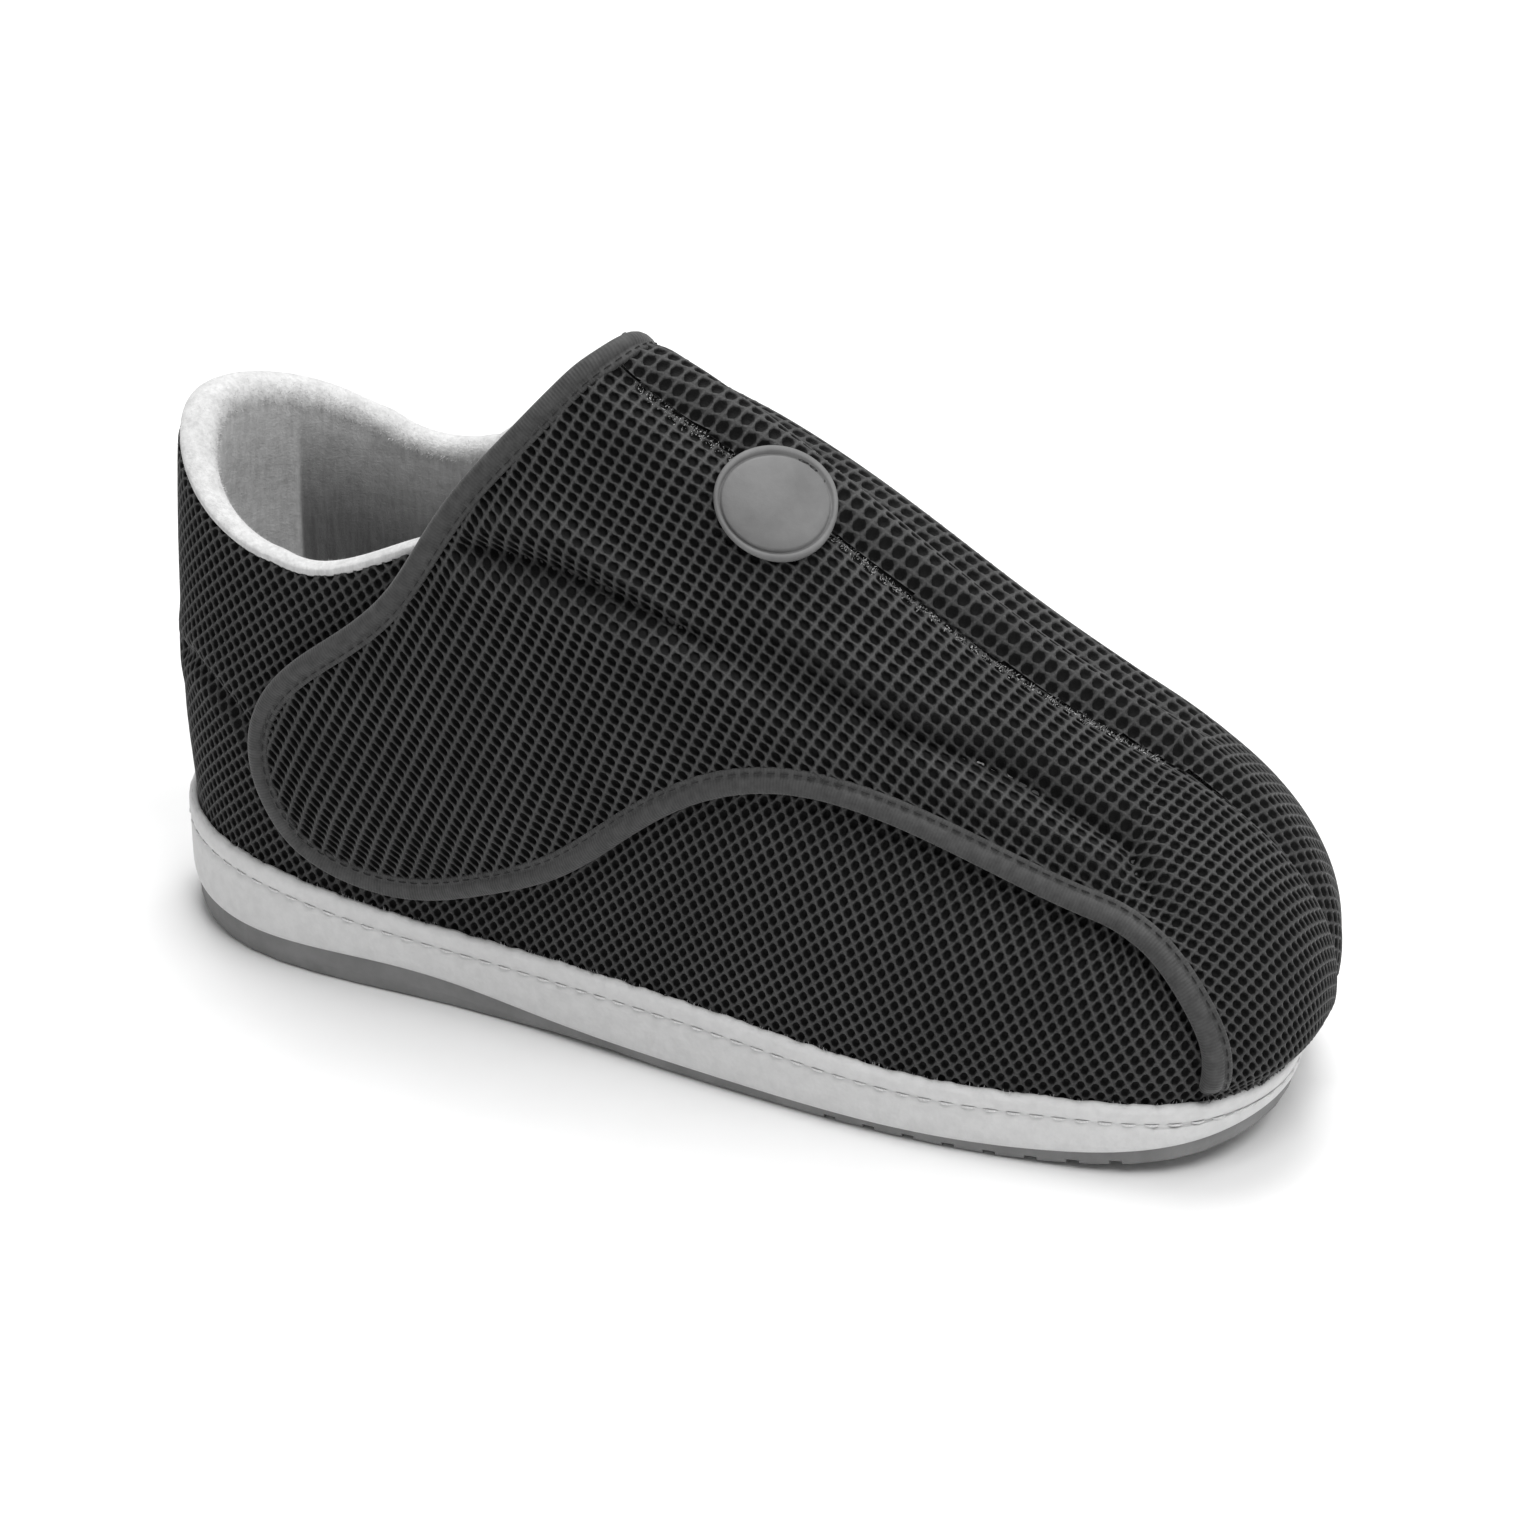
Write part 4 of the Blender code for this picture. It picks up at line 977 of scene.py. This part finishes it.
def lattice(low, high, turn):
    """Centres of leaning rows over a box of the plane, turned by an angle."""
    middle = (np.array(low) + high) / 2
    reach = float(np.linalg.norm(np.array(high) - low)) / 2
    rows = int(reach / CELL_ACROSS) + 1
    columns = int(reach / CELL_ALONG) + 1 + int(rows * CELL_LEAN / CELL_ALONG)
    j, i = np.mgrid[-rows:rows + 1, -columns:columns + 1]
    points = np.column_stack([(i * CELL_ALONG + j * CELL_LEAN).ravel(), (j * CELL_ACROSS).ravel()])
    points = turned(points, turn) + middle
    return points[((points > low) & (points < high)).all(1)]


def flap_knit(material):
    """The flap's knit, inside its border on the plane."""
    turn = math.radians(FLAP_TURN)
    centres = lattice(FLAP_RING.min(0), FLAP_RING.max(0), turn)
    centres = centres[inside_polygon(centres, FLAP_RING)]

    def outer_side(points):
        return from_plane(on_side(points, -1))

    def hold(walk, share):
        return np.minimum(walk, FLAP_END), np.clip(share, 0.0, NEAR_SEAM)

    def lay(walk, share, depth):
        return last(walk, share, flap_skin(walk, share) - depth * PIT_DEPTH)
    return knit("flap_knit", centres, outer_side, hold, lay, material, turn)


def peak_walk(share):
    """The walk of the tape over the peak's inner side, at each share."""
    inner = PEAK_WALK > 0.5
    return np.interp(-share, -PEAK_SHARE[inner], PEAK_WALK[inner], right=1.0)


def vamp_cells():
    """Centres and walks of the cells from the instep seam to the heel's knit, with the toe's."""
    centres = lattice(*VAMP_BOX, math.radians(VAMP_TURN))
    seam = seam_across(centres[:, 0])
    centres = centres[(centres[:, 1] > seam - CELL_ACROSS / 4) | (centres[:, 0] > TOE_POLE)]
    walk, share = from_plane(on_side(centres, 1))
    foot, out = rib_plan(walk)
    beyond = ((centres - foot) * out).sum(1) > SEAM_TABLE[:, -1].max()
    keep = (walk > FLAP_END) & (walk < VAMP_SPLIT) & (share < top_share(walk)) & (share > 0.0)
    keep &= ~beyond & (walk <= peak_walk(share))
    return centres[keep], walk[keep]


def vamp_knit(material):
    """The inner side's knit in two pieces, split at the toe."""
    turn = math.radians(VAMP_TURN)
    centres, walk = vamp_cells()

    def hold(walk, share):
        walk = np.clip(walk, FLAP_END, VAMP_SPLIT)
        share = np.clip(share, 0.0, np.minimum(top_share(walk), NEAR_SEAM))
        return np.minimum(walk, peak_walk(share)), share

    def lay(walk, share, depth):
        return last(walk, share, vamp_skin(walk, share) - depth * PIT_DEPTH)

    def inner_side(points):
        return from_plane(on_side(points, 1))
    toe = walk < TOE_SPLIT
    return (knit("vamp_knit", centres[~toe], inner_side, hold, lay, material, turn),
            knit("toe_knit", centres[toe], inner_side, hold, lay, material, turn))


def round_roll(middle, half, crown, angle):
    """Points round the collar's roll, at an angle up from its outer side."""
    return middle + half * np.cos(angle)[:, None] + crown * np.sin(angle)[:, None]


def over_shoulder(walk, rise, depth):
    """Points past the collar's top edge, a length up round its roll."""
    _, rounded, _, middle, half, crown = crown_frame(walk)
    angle = np.minimum(rise / np.linalg.norm(half, axis=1), np.radians(SHOULDER)) * rounded
    around = round_roll(middle, half, crown, angle)
    return around - unit(around - middle) * (depth * PIT_DEPTH)[:, None]


def quarter_knit(material):
    """The knit of the outer quarter and of the heel, split behind the heel, up to the collar's roll."""
    turn = math.radians(QUARTER_TURN)
    centres = lattice(((VAMP_SPLIT - 1.0) * ROUND, 0.0), (QUARTER_END * ROUND, QUARTER_HEIGHT), turn)
    walk, share = from_belt(centres)
    hidden = inside_polygon(to_plane(walk % 1.0, share), FLAP_RING) & (walk < 0.5)
    edge = near_line(rib(walk, share), EDGE_LINE)
    keep = (share < top_share(walk) + COLLAR_REACH) & ~(hidden & (edge > UNDER_FLAP))
    keep &= centres[:, 1] < rows_at(walk, FEATHER_TABLE)[:, -1] - 1e-4

    def hold(walk, share):
        return np.where((walk < VAMP_SPLIT) & (walk > 0.6), VAMP_SPLIT, walk), np.maximum(share, 0.0)

    def place_cells(walk, share, depth):
        top = top_share(walk)
        low = np.minimum(share, top)
        points = last(walk, low, quarter_skin(walk, low) - depth * PIT_DEPTH)
        past = share > top
        rise = np.linalg.norm(last(walk[past], share[past]) - last(walk[past], top[past]), axis=1)
        points[past] = over_shoulder(walk[past], rise, depth[past])
        return points
    centres, heel = centres[keep], walk[keep] < HEEL_SPLIT
    return (knit("quarter_knit", centres[~heel], from_belt, hold, place_cells, material, turn),
            knit("heel_knit", centres[heel], from_belt, hold, place_cells, material, turn))


# Instep seam
def seam_strip(material):
    """The strip down in the instep seam, from the flap's side to the inner side's, its near-black tone painted
    shade for the seam's trough.
    """
    x = np.linspace(float(PEAK_PATH[len(PEAK_PATH) // 2, 0]) - 0.004, TOE_POLE, 260)
    outer, inner, near = outer_walk(x), inner_walk(x), np.full(len(x), NEAR_SEAM)

    def beside(across, drop, skin):
        walk, share = beside_seam(x, np.full(len(x), across))
        return last(walk, share, skin(walk, share) - drop)
    columns = [beside(-across, drop, flap_skin) for across, drop in SEAM_STRIP]
    low, high = last(outer, near, flap_skin(outer, near)), last(inner, near, vamp_skin(inner, near))
    columns.append((low + high) / 2 - normal(outer, near) * SEAM_SINK)
    columns += [beside(across, drop, vamp_skin) for across, drop in SEAM_STRIP[::-1]]
    return make_mesh("instep_seam", np.vstack(columns), grid_faces(len(columns), len(x)), material)


# Lining, with the padded rim of the collar
def crown_frame(walk):
    """The collar's roll: share, roundness, padding, middle, and its halves outwards and upwards."""
    turn = np.where(walk > FLAP_END + 0.1, walk - 1.0, walk)
    top = top_share(walk)
    rounded = np.where(walk < FLAP_END, 1 - smooth((walk - 0.36) / 0.08), smooth((walk - VAMP_REAR) / 0.03))
    padded = rounded * (1 - smooth((turn - 0.20) / 0.08))
    skin = np.where(walk >= VAMP_SPLIT, quarter_skin(walk, top),
                    np.where(walk >= FLAP_END, vamp_skin(walk, top), quarter_skin(walk, top)))
    over = last(walk, top, skin)
    under = last(walk, top, -inner_wall(walk, np.ones(len(walk)), padded))
    half = (over - under) / 2
    return top, rounded, padded, (over + under) / 2, half, crown_lift(walk, half) * rounded[:, None]


def crown_lift(walk, half):
    """The way up over the roll, square to the rim's run."""
    step = 0.0015
    ahead, behind = (last(walk + way, top_share((walk + way) % 1.0)) for way in (step, -step))
    return unit(np.cross(half, ahead - behind)) * np.linalg.norm(half, axis=1)[:, None]


def crown_walks():
    """The lining's walks, fine where the heel's pad ends."""
    base = np.r_[np.linspace(0.0, 0.20, 18), np.linspace(0.215, 0.42, 15),
                 np.linspace(0.435, FLAP_END - FLAP_END_STEP, 7), np.linspace(FLAP_END, 0.62, 9),
                 np.linspace(0.64, 0.78, 9), np.linspace(VAMP_REAR, 0.82, 8), np.linspace(0.83, 0.99, 14), 1.0]
    fine = [np.linspace(a, b, 7, endpoint=False) for a, b in zip(base[:-1], base[1:])]
    ends = [np.linspace(end - 0.001, end + 0.005, 9) for end in HEEL_PAD_ENDS]
    return np.unique(np.concatenate(fine + ends))


def inner_wall(walk, share, padded):
    """How far the lining lies under the last's surface, with the rim's roll and the heel's pad."""
    turn = np.where(walk > 0.5, walk - 1.0, walk)
    near, far = HEEL_PAD_ENDS
    pad = HEEL_PAD * np.where(walk > 0.5, smooth((walk - far) / 0.004), 1 - smooth((walk - near) / 0.004))
    swell = (0.45 + 0.75 * smooth(1 - np.abs(turn + 0.02) / 0.085)) * RIM_SWELL * padded
    swell *= smooth(1 - (1 - share) * 0.10 / (2 * RIM_DEPTH))
    return under_wall(walk) + swell + pad * smooth((1.0 - share) / 0.25) * smooth(share / 0.2)


def lining(material):
    """Brushed fleece from under the knit's edge, over the collar's roll and down the inside, painted darker
    deep inside and ahead of the heel's pad as shade.
    """
    walk = crown_walks()
    top, rounded, padded, middle, half, crown = crown_frame(walk)
    shoulder = np.radians(SHOULDER) * rounded
    sunk = FLEECE_SINK * (1 - rounded)
    columns = []
    for lift, back in ((-0.0006, 0.30), (0.0004, 0.22), (0.0010, 0.06)):
        around = round_roll(middle, half, crown, shoulder - back)
        columns.append(around + unit(around - middle) * (lift * rounded - sunk)[:, None])
    for share in np.linspace(0.0, 1.0, 14):
        around = round_roll(middle, half, crown, shoulder + share * (np.pi - shoulder))
        proud = (FLEECE_PROUD * rounded - sunk) * (1 - share)
        columns.append(around + unit(around - middle) * proud[:, None])
    # Painted shade: the shade value darkens the lining deep inside and ahead of the heel's pad
    painted_lining_shade = [np.zeros(len(walk))] * len(columns)
    near, far = HEEL_PAD_ENDS
    ahead = np.where(walk > 0.5, 1 - smooth((walk - far) / 0.003), smooth((walk - near) / 0.003))
    for share in np.linspace(0.97, 0.0, 26):
        columns.append(last(walk, share * top, -inner_wall(walk, np.full(len(walk), share), padded)))
        painted_lining_shade.append(ahead * smooth((1.02 - share) / 0.42) + 0.25 * (1 - ahead) * smooth((0.9 - share) / 0.6))
    points = np.vstack(columns)
    faces = grid_faces(len(columns), len(walk), False, True)
    return make_mesh("lining", points, faces, material, {"painted_lining_shade": np.concatenate(painted_lining_shade)})


def flap_lining(material):
    """The flap's inner face, a plain brushed cloth close over the outer quarter."""
    columns, rows = 140, 70
    walk = np.repeat(np.linspace(EDGE_WALK.min(), FLAP_END, columns), rows)
    share = np.tile(np.linspace(0.002, 0.998, rows), columns)
    plane = to_plane(walk, share)
    inside = inside_polygon(plane, FLAP_RING)
    faces = [face for face in grid_faces(columns, rows) if inside[list(face)].any()]
    used = np.unique(np.array(faces))
    fresh = np.zeros(len(walk), int)
    fresh[used] = np.arange(len(used))
    even = np.linspace(0, len(FLAP_RING) - 1, 4000)
    border = interp_rows(even, np.arange(len(FLAP_RING)), FLAP_RING)
    plane, outside = plane[used], ~inside[used]
    gaps = np.linalg.norm(plane[outside][:, None] - border[None], axis=2)
    plane[outside] = border[gaps.argmin(1)]
    walk, share = from_plane(on_side(plane, -1))
    walk, share = np.minimum(walk, FLAP_END), np.clip(share, 0.0, NEAR_SEAM)
    points = last(walk, share, np.minimum(FLAP_SEAT, flap_skin(walk, share) - 1.2 * PIT_DEPTH))
    return make_mesh("flap_lining", points, fresh[np.array(faces)].tolist(), material)


# Tape round the flap's free edge and over the instep's peak
def tape_path():
    """Walks and shares along the bound edge, from the toe's foot to the peak and down its far side."""
    keep = (EDGE_SHARE < PEAK_START) & (EDGE_SHARE > 0.3 * lip_share(EDGE_WALK))
    walk, share = EDGE_WALK[keep][::-1], EDGE_SHARE[keep][::-1]
    top_walk, top_side = from_plane(PEAK_PATH)
    ahead = top_side > EDGE_SHARE[keep].max()
    start = int(np.argmax(ahead))
    return np.r_[walk, top_walk[start:]], np.r_[share, top_side[start:]]


def tape(material, thread):
    """The folded tape with its row of stitches."""
    walk, share = tape_path()
    centre, up = last(walk, share), normal(walk, share)
    length = run_along(centre)
    even = np.linspace(0.0, 1.0, 560)
    at = even * length[-1]
    centre, up = interp_rows(at, length, centre), interp_rows(at, length, up)
    walk, share = np.interp(at, length, walk), np.interp(at, length, share)
    for _ in range(12):
        for rows in (centre, up):
            rows[1:-1] = (rows[:-2] + 2 * rows[1:-1] + rows[2:]) / 4
    up = unit(up)
    side = unit(np.cross(up, unit(np.gradient(centre, axis=0))))
    half = BINDING_WIDTH / 2
    tuck = smooth((1.0 - even) * length[-1] / TAPE_TUCK)
    deep = (FLAP_WALL + BINDING_PROUD) * foot_taper(walk, share) * (0.12 + 0.88 * tuck)
    columns = [centre + side * (across * half) + up * (CLEARANCE + height * deep)[:, None]
               for across, height in TAPE_PROFILE]
    faces = grid_faces(len(columns), len(walk), True, False)
    faces.append(tuple(k * len(walk) for k in range(len(columns))))
    faces.append(tuple(k * len(walk) + len(walk) - 1 for k in reversed(range(len(columns)))))
    run = np.tile(run_along(centre), len(columns))
    made = make_mesh("binding_tape", np.vstack(columns), faces, material, {"run": run})
    across, height = TAPE_STITCH_PLACE
    line = centre - side * (across * half) + up * (CLEARANCE + height * deep)[:, None]
    stitches("binding_stitches", line, up, thread, *TAPE_STITCH)
    return made


def stitches(name, line, up, material, length, gap, radius, lift):
    """Short threads along a line, dipping into the cloth at both ends."""
    run = run_along(line)
    starts = np.arange(gap, run[-1] - length, length + gap)
    share, rise, thick = np.array(STITCH_SHAPE).T
    at = starts[:, None] + share * length
    middle, lifted = interp_rows(at, run, line), interp_rows(at, run, up)
    ahead = np.gradient(middle, axis=1)
    ahead /= np.linalg.norm(ahead, axis=-1, keepdims=True)
    beside = np.cross(lifted, ahead)
    angle = np.linspace(0, 2 * np.pi, STITCH_SIDES, endpoint=False)
    core = middle + lifted * (rise * radius + lift)[:, None]
    ring = beside[:, :, None] * np.cos(angle)[:, None] + lifted[:, :, None] * np.sin(angle)[:, None]
    points = core[:, :, None] + radius * thick[:, None, None] * ring
    one = np.array(grid_faces(len(share), STITCH_SIDES, False, True))
    faces = one + (np.arange(len(starts)) * len(share) * STITCH_SIDES)[:, None, None]
    return make_mesh(name, points.reshape(-1, 3), faces.reshape(-1, 4).tolist(), material)


def fibres(name, roots, ways, width, material, bend):
    """Short loose fibres, each a thin bent blade."""
    side = unit(np.cross(ways, bend) + 1e-9) * width / 2
    middle = roots + ways * 0.55 + bend * 0.25
    tip = roots + ways + bend * 0.9
    points = np.stack([roots - side, roots + side, middle + side * 0.7, middle - side * 0.7, tip], axis=1)
    faces = []
    for b in range(0, 5 * len(roots), 5):
        faces += [(b, b + 1, b + 2, b + 3), (b + 3, b + 2, b + 4)]
    return make_mesh(name, points.reshape(-1, 3), faces, material)


def seam_fluff(material):
    """Light fluff of cut yarn beside the instep seam."""
    rng = np.random.default_rng(SEED)
    ridge = sections(PEAK_PATH[:, 0])[:, 1]
    start = float(PEAK_PATH[np.abs(PEAK_PATH[:, 1] - ridge).argmin(), 0]) + 1.2 * BINDING_WIDTH
    x = rng.uniform(start, TOE_POLE, SEAM_FIBRES)
    clump = 0.5 + 0.5 * np.sin(x * 900) * np.sin(x * 2170 + 1.0)
    x = x[rng.random(SEAM_FIBRES) < 0.25 + 0.75 * clump]
    across = -0.0012 + rng.normal(0.0, 0.0006, len(x))
    walk, share = beside_seam(x, np.minimum(across, -0.0001))
    up = normal(walk, share)
    roots = last(walk, share, flap_skin(walk, share) - 0.0002)
    spread = unit(rng.normal(size=(len(x), 3)))
    ways = (up * 0.5 + spread * 0.6) * rng.uniform(0.0004, 0.0010, (len(x), 1))
    return fibres("seam_fluff", roots, ways, SEAM_FIBRE_WIDTH, material, spread[::-1] * 0.0003)


def rim_fluff(material):
    """The fleece's pile along the collar's roll and just inside it."""
    rng = np.random.default_rng(SEED)
    walk = rng.uniform(-0.195, 0.18, RIM_FIBRES) % 1.0
    _, rounded, _, middle, half, crown = crown_frame(walk)
    angle = np.radians(rng.uniform(SHOULDER - 10, 178, RIM_FIBRES)) * rounded
    around = half * np.cos(angle)[:, None] + crown * np.sin(angle)[:, None]
    spread = unit(rng.normal(size=(RIM_FIBRES, 3)))
    ways = (unit(around + 1e-9) * 0.8 + spread * 0.6) * rng.uniform(0.0002, 0.0008, (RIM_FIBRES, 1))
    keep = rounded > 0.6
    roots = middle + around
    return fibres("rim_fluff", roots[keep], ways[keep], FIBRE_WIDTH, material, spread[keep] * 0.0004)


def wrap_fluff(material):
    """The frayed cut edge of the band's lip."""
    rng = np.random.default_rng(SEED)
    walk = rng.random(WRAP_FIBRES)
    lip = share_at_rise(walk, WRAP_LIP / INSTEP_RISE) * rng.uniform(0.8, 1.0, WRAP_FIBRES)
    roots = last(walk, lip, CLEARANCE + WRAP_WALL * rng.uniform(0.2, 0.8, WRAP_FIBRES))
    spread = unit(rng.normal(size=(WRAP_FIBRES, 3)))
    ways = (np.array([0.0, 0.0, 0.8]) + spread * 0.6) * rng.uniform(0.0004, 0.0011, (WRAP_FIBRES, 1))
    return fibres("wrap_fluff", roots, ways, FIBRE_WIDTH, material, spread * 0.0003)


# Sole
def wrap_height(x, share):
    """A height on the band's outer face, from the outsole's top to the midsole's."""
    low = outsole_top(x) + CLEARANCE
    return low + share * (midsole_top(x) - low)


def wrap_ring(walk, inset, height):
    """A ring round the outline, with its heights from a function of x."""
    plan = inset_outline(walk, np.full(len(walk), inset))
    return np.column_stack([plan, height(plan[:, 0])])


def stitch_height(x, drop=0.0):
    """The height of the band's stitched step."""
    return midsole_top(x) + WRAP_LIP - STITCH_DROP - drop


def wrap(material, thread):
    """The pale band with its stitched step, its frayed lip and its stitches."""
    walk = np.linspace(0.0, 1.0, 520, endpoint=False)
    profile = []
    for share, bulge in ((0.0, 0.0), (0.06, 0.35), (0.2, 0.6), (0.4, 0.7), (0.6, 0.6), (0.72, 0.5)):
        profile.append(wrap_ring(walk, -bulge * WRAP_STEP, lambda x, s=share: wrap_height(x, s)))
    step = -0.5 * WRAP_STEP
    for inset, drop in ((0.0, 0.0007), (0.00035, 0.0002), (0.00035, -0.0002), (-0.0001, -0.0007)):
        profile.append(wrap_ring(walk, step + inset, lambda x, d=drop: stitch_height(x, d)))
    outer = FEATHER_INSET + WRAP_STEP
    lip = share_at_rise(walk, WRAP_LIP / INSTEP_RISE)
    torn = lip * fluff_wave(walk)
    for height, share, skin in (
            (lip, 0.2, outer), (lip, 0.6, outer - 0.0001), (torn, 0.95, outer - 0.25 * WRAP_WALL),
            (torn, 1.04, CLEARANCE + 0.5 * WRAP_WALL), (torn, 1.0, CLEARANCE), (lip, 0.5, 0.0)):
        profile.append(last(walk, share * height, skin))
    for share in (0.75, 0.0):
        profile.append(wrap_ring(walk, WRAP_WALL, lambda x, s=share: wrap_height(x, s)))
    faces = grid_faces(len(profile), len(walk), True, True)
    made = make_mesh("wrap_band", np.vstack(profile), faces, material)
    line_walk = np.linspace(0.0, 1.0, 900)
    line = wrap_ring(line_walk, step + 0.00030, stitch_height)
    outwards = wrap_ring(line_walk, -0.01, stitch_height) - line
    stitches("wrap_stitches", line, unit(outwards), thread, *WRAP_STITCH)
    return made


def fluff_wave(walk):
    """The uneven height of the band's cut edge."""
    turn = 2 * np.pi * walk
    wave = np.sin(61 * turn + 1.3 * np.sin(17 * turn)) + 0.8 * np.sin(149 * turn + 2.0 * np.sin(29 * turn))
    return 1 + 0.05 * wave


def insole(material):
    """The loose insole's top, side and underside, closed."""
    walk = np.linspace(0.0, 1.0, 240, endpoint=False)
    edge = last(walk, 0.0, -under_wall(walk) - CLEARANCE)[:, :2]
    spine = np.column_stack([np.clip(edge[:, 0], HEEL_POLE, TOE_POLE), seam_across(edge[:, 0]) * 0.2])
    rings = []
    for share, rise in INSOLE_RINGS:
        plan = edge * (1 - share) + spine * share
        height = midsole_top(plan[:, 0]) + CLEARANCE + rise * INSOLE_THICKNESS
        rings.append(np.column_stack([plan, height]))
    faces = [tuple(reversed(face)) for face in grid_faces(len(rings), len(walk), False, True)]
    base = (len(rings) - 1) * len(walk)
    half = len(walk) // 2
    for i in range(half):
        quad = dict.fromkeys([i, i + 1, (len(walk) - i - 1) % len(walk), (len(walk) - i) % len(walk)])
        faces.append(tuple(base + k for k in quad))
        faces.append(tuple(reversed(list(quad))))
    return make_mesh("insole_pad", np.vstack(rings), faces, material)


# Badge
def beside_seam(x, across):
    """Walks and shares at a distance from the instep seam, below zero on the outer side."""
    walk = np.where(across < 0, outer_walk(x), inner_walk(x))
    return walk, 1 - share_at_length(walk, np.abs(across), SEAM_TABLE)


def badge(material):
    """The bare oval badge over the instep seam, with a raised rim."""
    spokes = 160
    x0 = float(place(BADGE_ALONG))
    ridge = rib(outer_walk(np.array([x0 - 0.01, x0 + 0.01])), np.ones(2))
    lean = float(np.linalg.norm(ridge[1] - ridge[0]) / (ridge[1, 0] - ridge[0, 0]))
    seat = FLAP_LIFT + 2 * CLEARANCE
    thick = 0.8 * BADGE_THICKNESS
    angle = np.linspace(0.0, 2 * np.pi, spokes, endpoint=False)
    columns = []
    for inset, height in BADGE_RINGS:
        long = np.cos(angle) * (BADGE_LENGTH / 2 - inset)
        short = np.sin(angle) * (BADGE_WIDTH / 2 - inset)
        along = (long * math.cos(BADGE_TURN) - short * math.sin(BADGE_TURN)) / lean
        across = long * math.sin(BADGE_TURN) + short * math.cos(BADGE_TURN) - BADGE_OFF_SEAM
        walk, up = beside_seam(x0 + along, across)
        columns.append(last(walk, np.minimum(up, 0.999), seat + height * thick + panel_puff(np.abs(across))))
    points = np.vstack(columns)
    faces = [tuple(reversed(face)) for face in grid_faces(len(columns), spokes, False, True)]
    base = (len(columns) - 1) * spokes
    faces.append(tuple(range(base, base + spokes)))
    return make_mesh("badge_plate", points, faces, material)


# Stage
def look_from(azimuth, elevation):
    """The way from the target out to a place that looks at it."""
    a, e = math.radians(azimuth), math.radians(elevation)
    return Vector((math.sin(a) * math.cos(e), -math.cos(a) * math.cos(e), math.sin(e)))


def aim(obj, way, distance):
    """Sets an object at a distance from the target and turns it back to it."""
    obj.location = Vector(TARGET) + way * distance
    obj.rotation_mode = "QUATERNION"
    obj.rotation_quaternion = (-way).to_track_quat("-Z", "Y")
    bpy.context.scene.collection.objects.link(obj)


def add_camera():
    """The photograph's camera."""
    camera = bpy.data.objects.new("camera", bpy.data.cameras.new("camera"))
    aim(camera, look_from(AZIMUTH, ELEVATION), DISTANCE)
    camera.data.sensor_width = SENSOR
    camera.data.lens = FOCAL / FRAME_SIDE * SENSOR
    camera.data.shift_x = (FRAME_SIDE / 2 - CENTRE_ACROSS) / FRAME_SIDE
    camera.data.shift_y = (CENTRE_DOWN - FRAME_SIDE / 2) / FRAME_SIDE
    camera.data.clip_start, camera.data.clip_end = CLIP
    bpy.context.scene.camera = camera


def add_light(name, azimuth, elevation, distance, size, power):
    """A square studio light."""
    lamp = bpy.data.lights.new(name, "AREA")
    lamp.size = size
    lamp.energy = power
    aim(bpy.data.objects.new(name, lamp), look_from(azimuth, elevation), distance)


def add_stage():
    """The pale floor, the sky and the lights."""
    n = Nodes("floor")
    grain = n.noise(30.0, 3.0)
    material = n.finish(ramp_colour(n, grain, 0.90, 0.92, 0.3, 0.7), 0.9)
    mesh = bpy.data.meshes.new("floor")
    corners = [(x * FLOOR_REACH, y * FLOOR_REACH, 0) for x, y in ((-1, -1), (1, -1), (1, 1), (-1, 1))]
    mesh.from_pydata(corners, [], [(0, 1, 2, 3)])
    mesh.materials.append(material)
    floor = bpy.data.objects.new("floor", mesh)
    bpy.context.scene.collection.objects.link(floor)
    world = bpy.data.worlds.new("studio")
    world.use_nodes = True
    sky = world.node_tree.nodes["Background"]
    sky.inputs["Color"].default_value = grey(1.0)
    sky.inputs["Strength"].default_value = SKY
    bpy.context.scene.world = world
    for light in LIGHTS:
        add_light(*light)
    bpy.context.scene.view_settings.view_transform = "Standard"


def main():
    """Lays every piece over the solids and sets the stage."""
    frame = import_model()
    knit_dark = knit_material("knit", YARN, YARN_HOLE_PAINTED_SHADE)
    fleece = fleece_material("fleece", FLEECE)
    inside = fleece_material("lining_fleece", LINING, LINING_PAINTED_SHADE)
    under = fleece_material("flap_under", FLAP_CLOTH)
    seam_shade_cloth = seam_shade_material("seam_painted_shade", SEAM_PAINTED_SHADE)
    fluff = thread_material("fluff", SEAM_FLUFF)
    white_fluff = thread_material("white_fluff", WRAP_FLUFF)
    tape_grey = tape_material("tape", TAPE)
    leather = leather_material("leather", LEATHER)
    thread = thread_material("thread", WRAP_THREAD)
    dark_thread = thread_material("dark_thread", TAPE_THREAD)
    rubber = rubber_material("sole_rubber", SOLE)
    badge_grey = rubber_material("badge_rubber_look", BADGE_TONE)
    foam = fleece_material("foam_look", FOAM)

    quarter, heel = quarter_knit(knit_dark)
    cover = flap_knit(knit_dark)
    pad = insole(foam)
    for piece, node, slot in (
            (cover, "flap", "flap_mesh"),
            (quarter, "upper", "spacer_mesh"),
            (heel, "upper", "spacer_mesh"),
            (tape(tape_grey, dark_thread), "flap_binding", "binding_tape"),
            (wrap(leather, thread), "platform_wrap", "wrap"),
            (pad, "insole", "insole_foam"),
            (badge(badge_grey), "badge", "badge_rubber")):
        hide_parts(node)
    vamp, toe = vamp_knit(knit_dark)
    seam_strip(seam_shade_cloth)
    seam_fluff(fluff)
    rim_fluff(fleece)
    wrap_fluff(white_fluff)
    rim = lining(inside)
    cloth = flap_lining(under)
    nodes = frame["nodes"]
    for name, look in (("outsole", rubber), ("midsole", foam)):
        nodes[name].data.materials.clear()
        nodes[name].data.materials.append(look)
    add_stage()
    add_camera()


main()
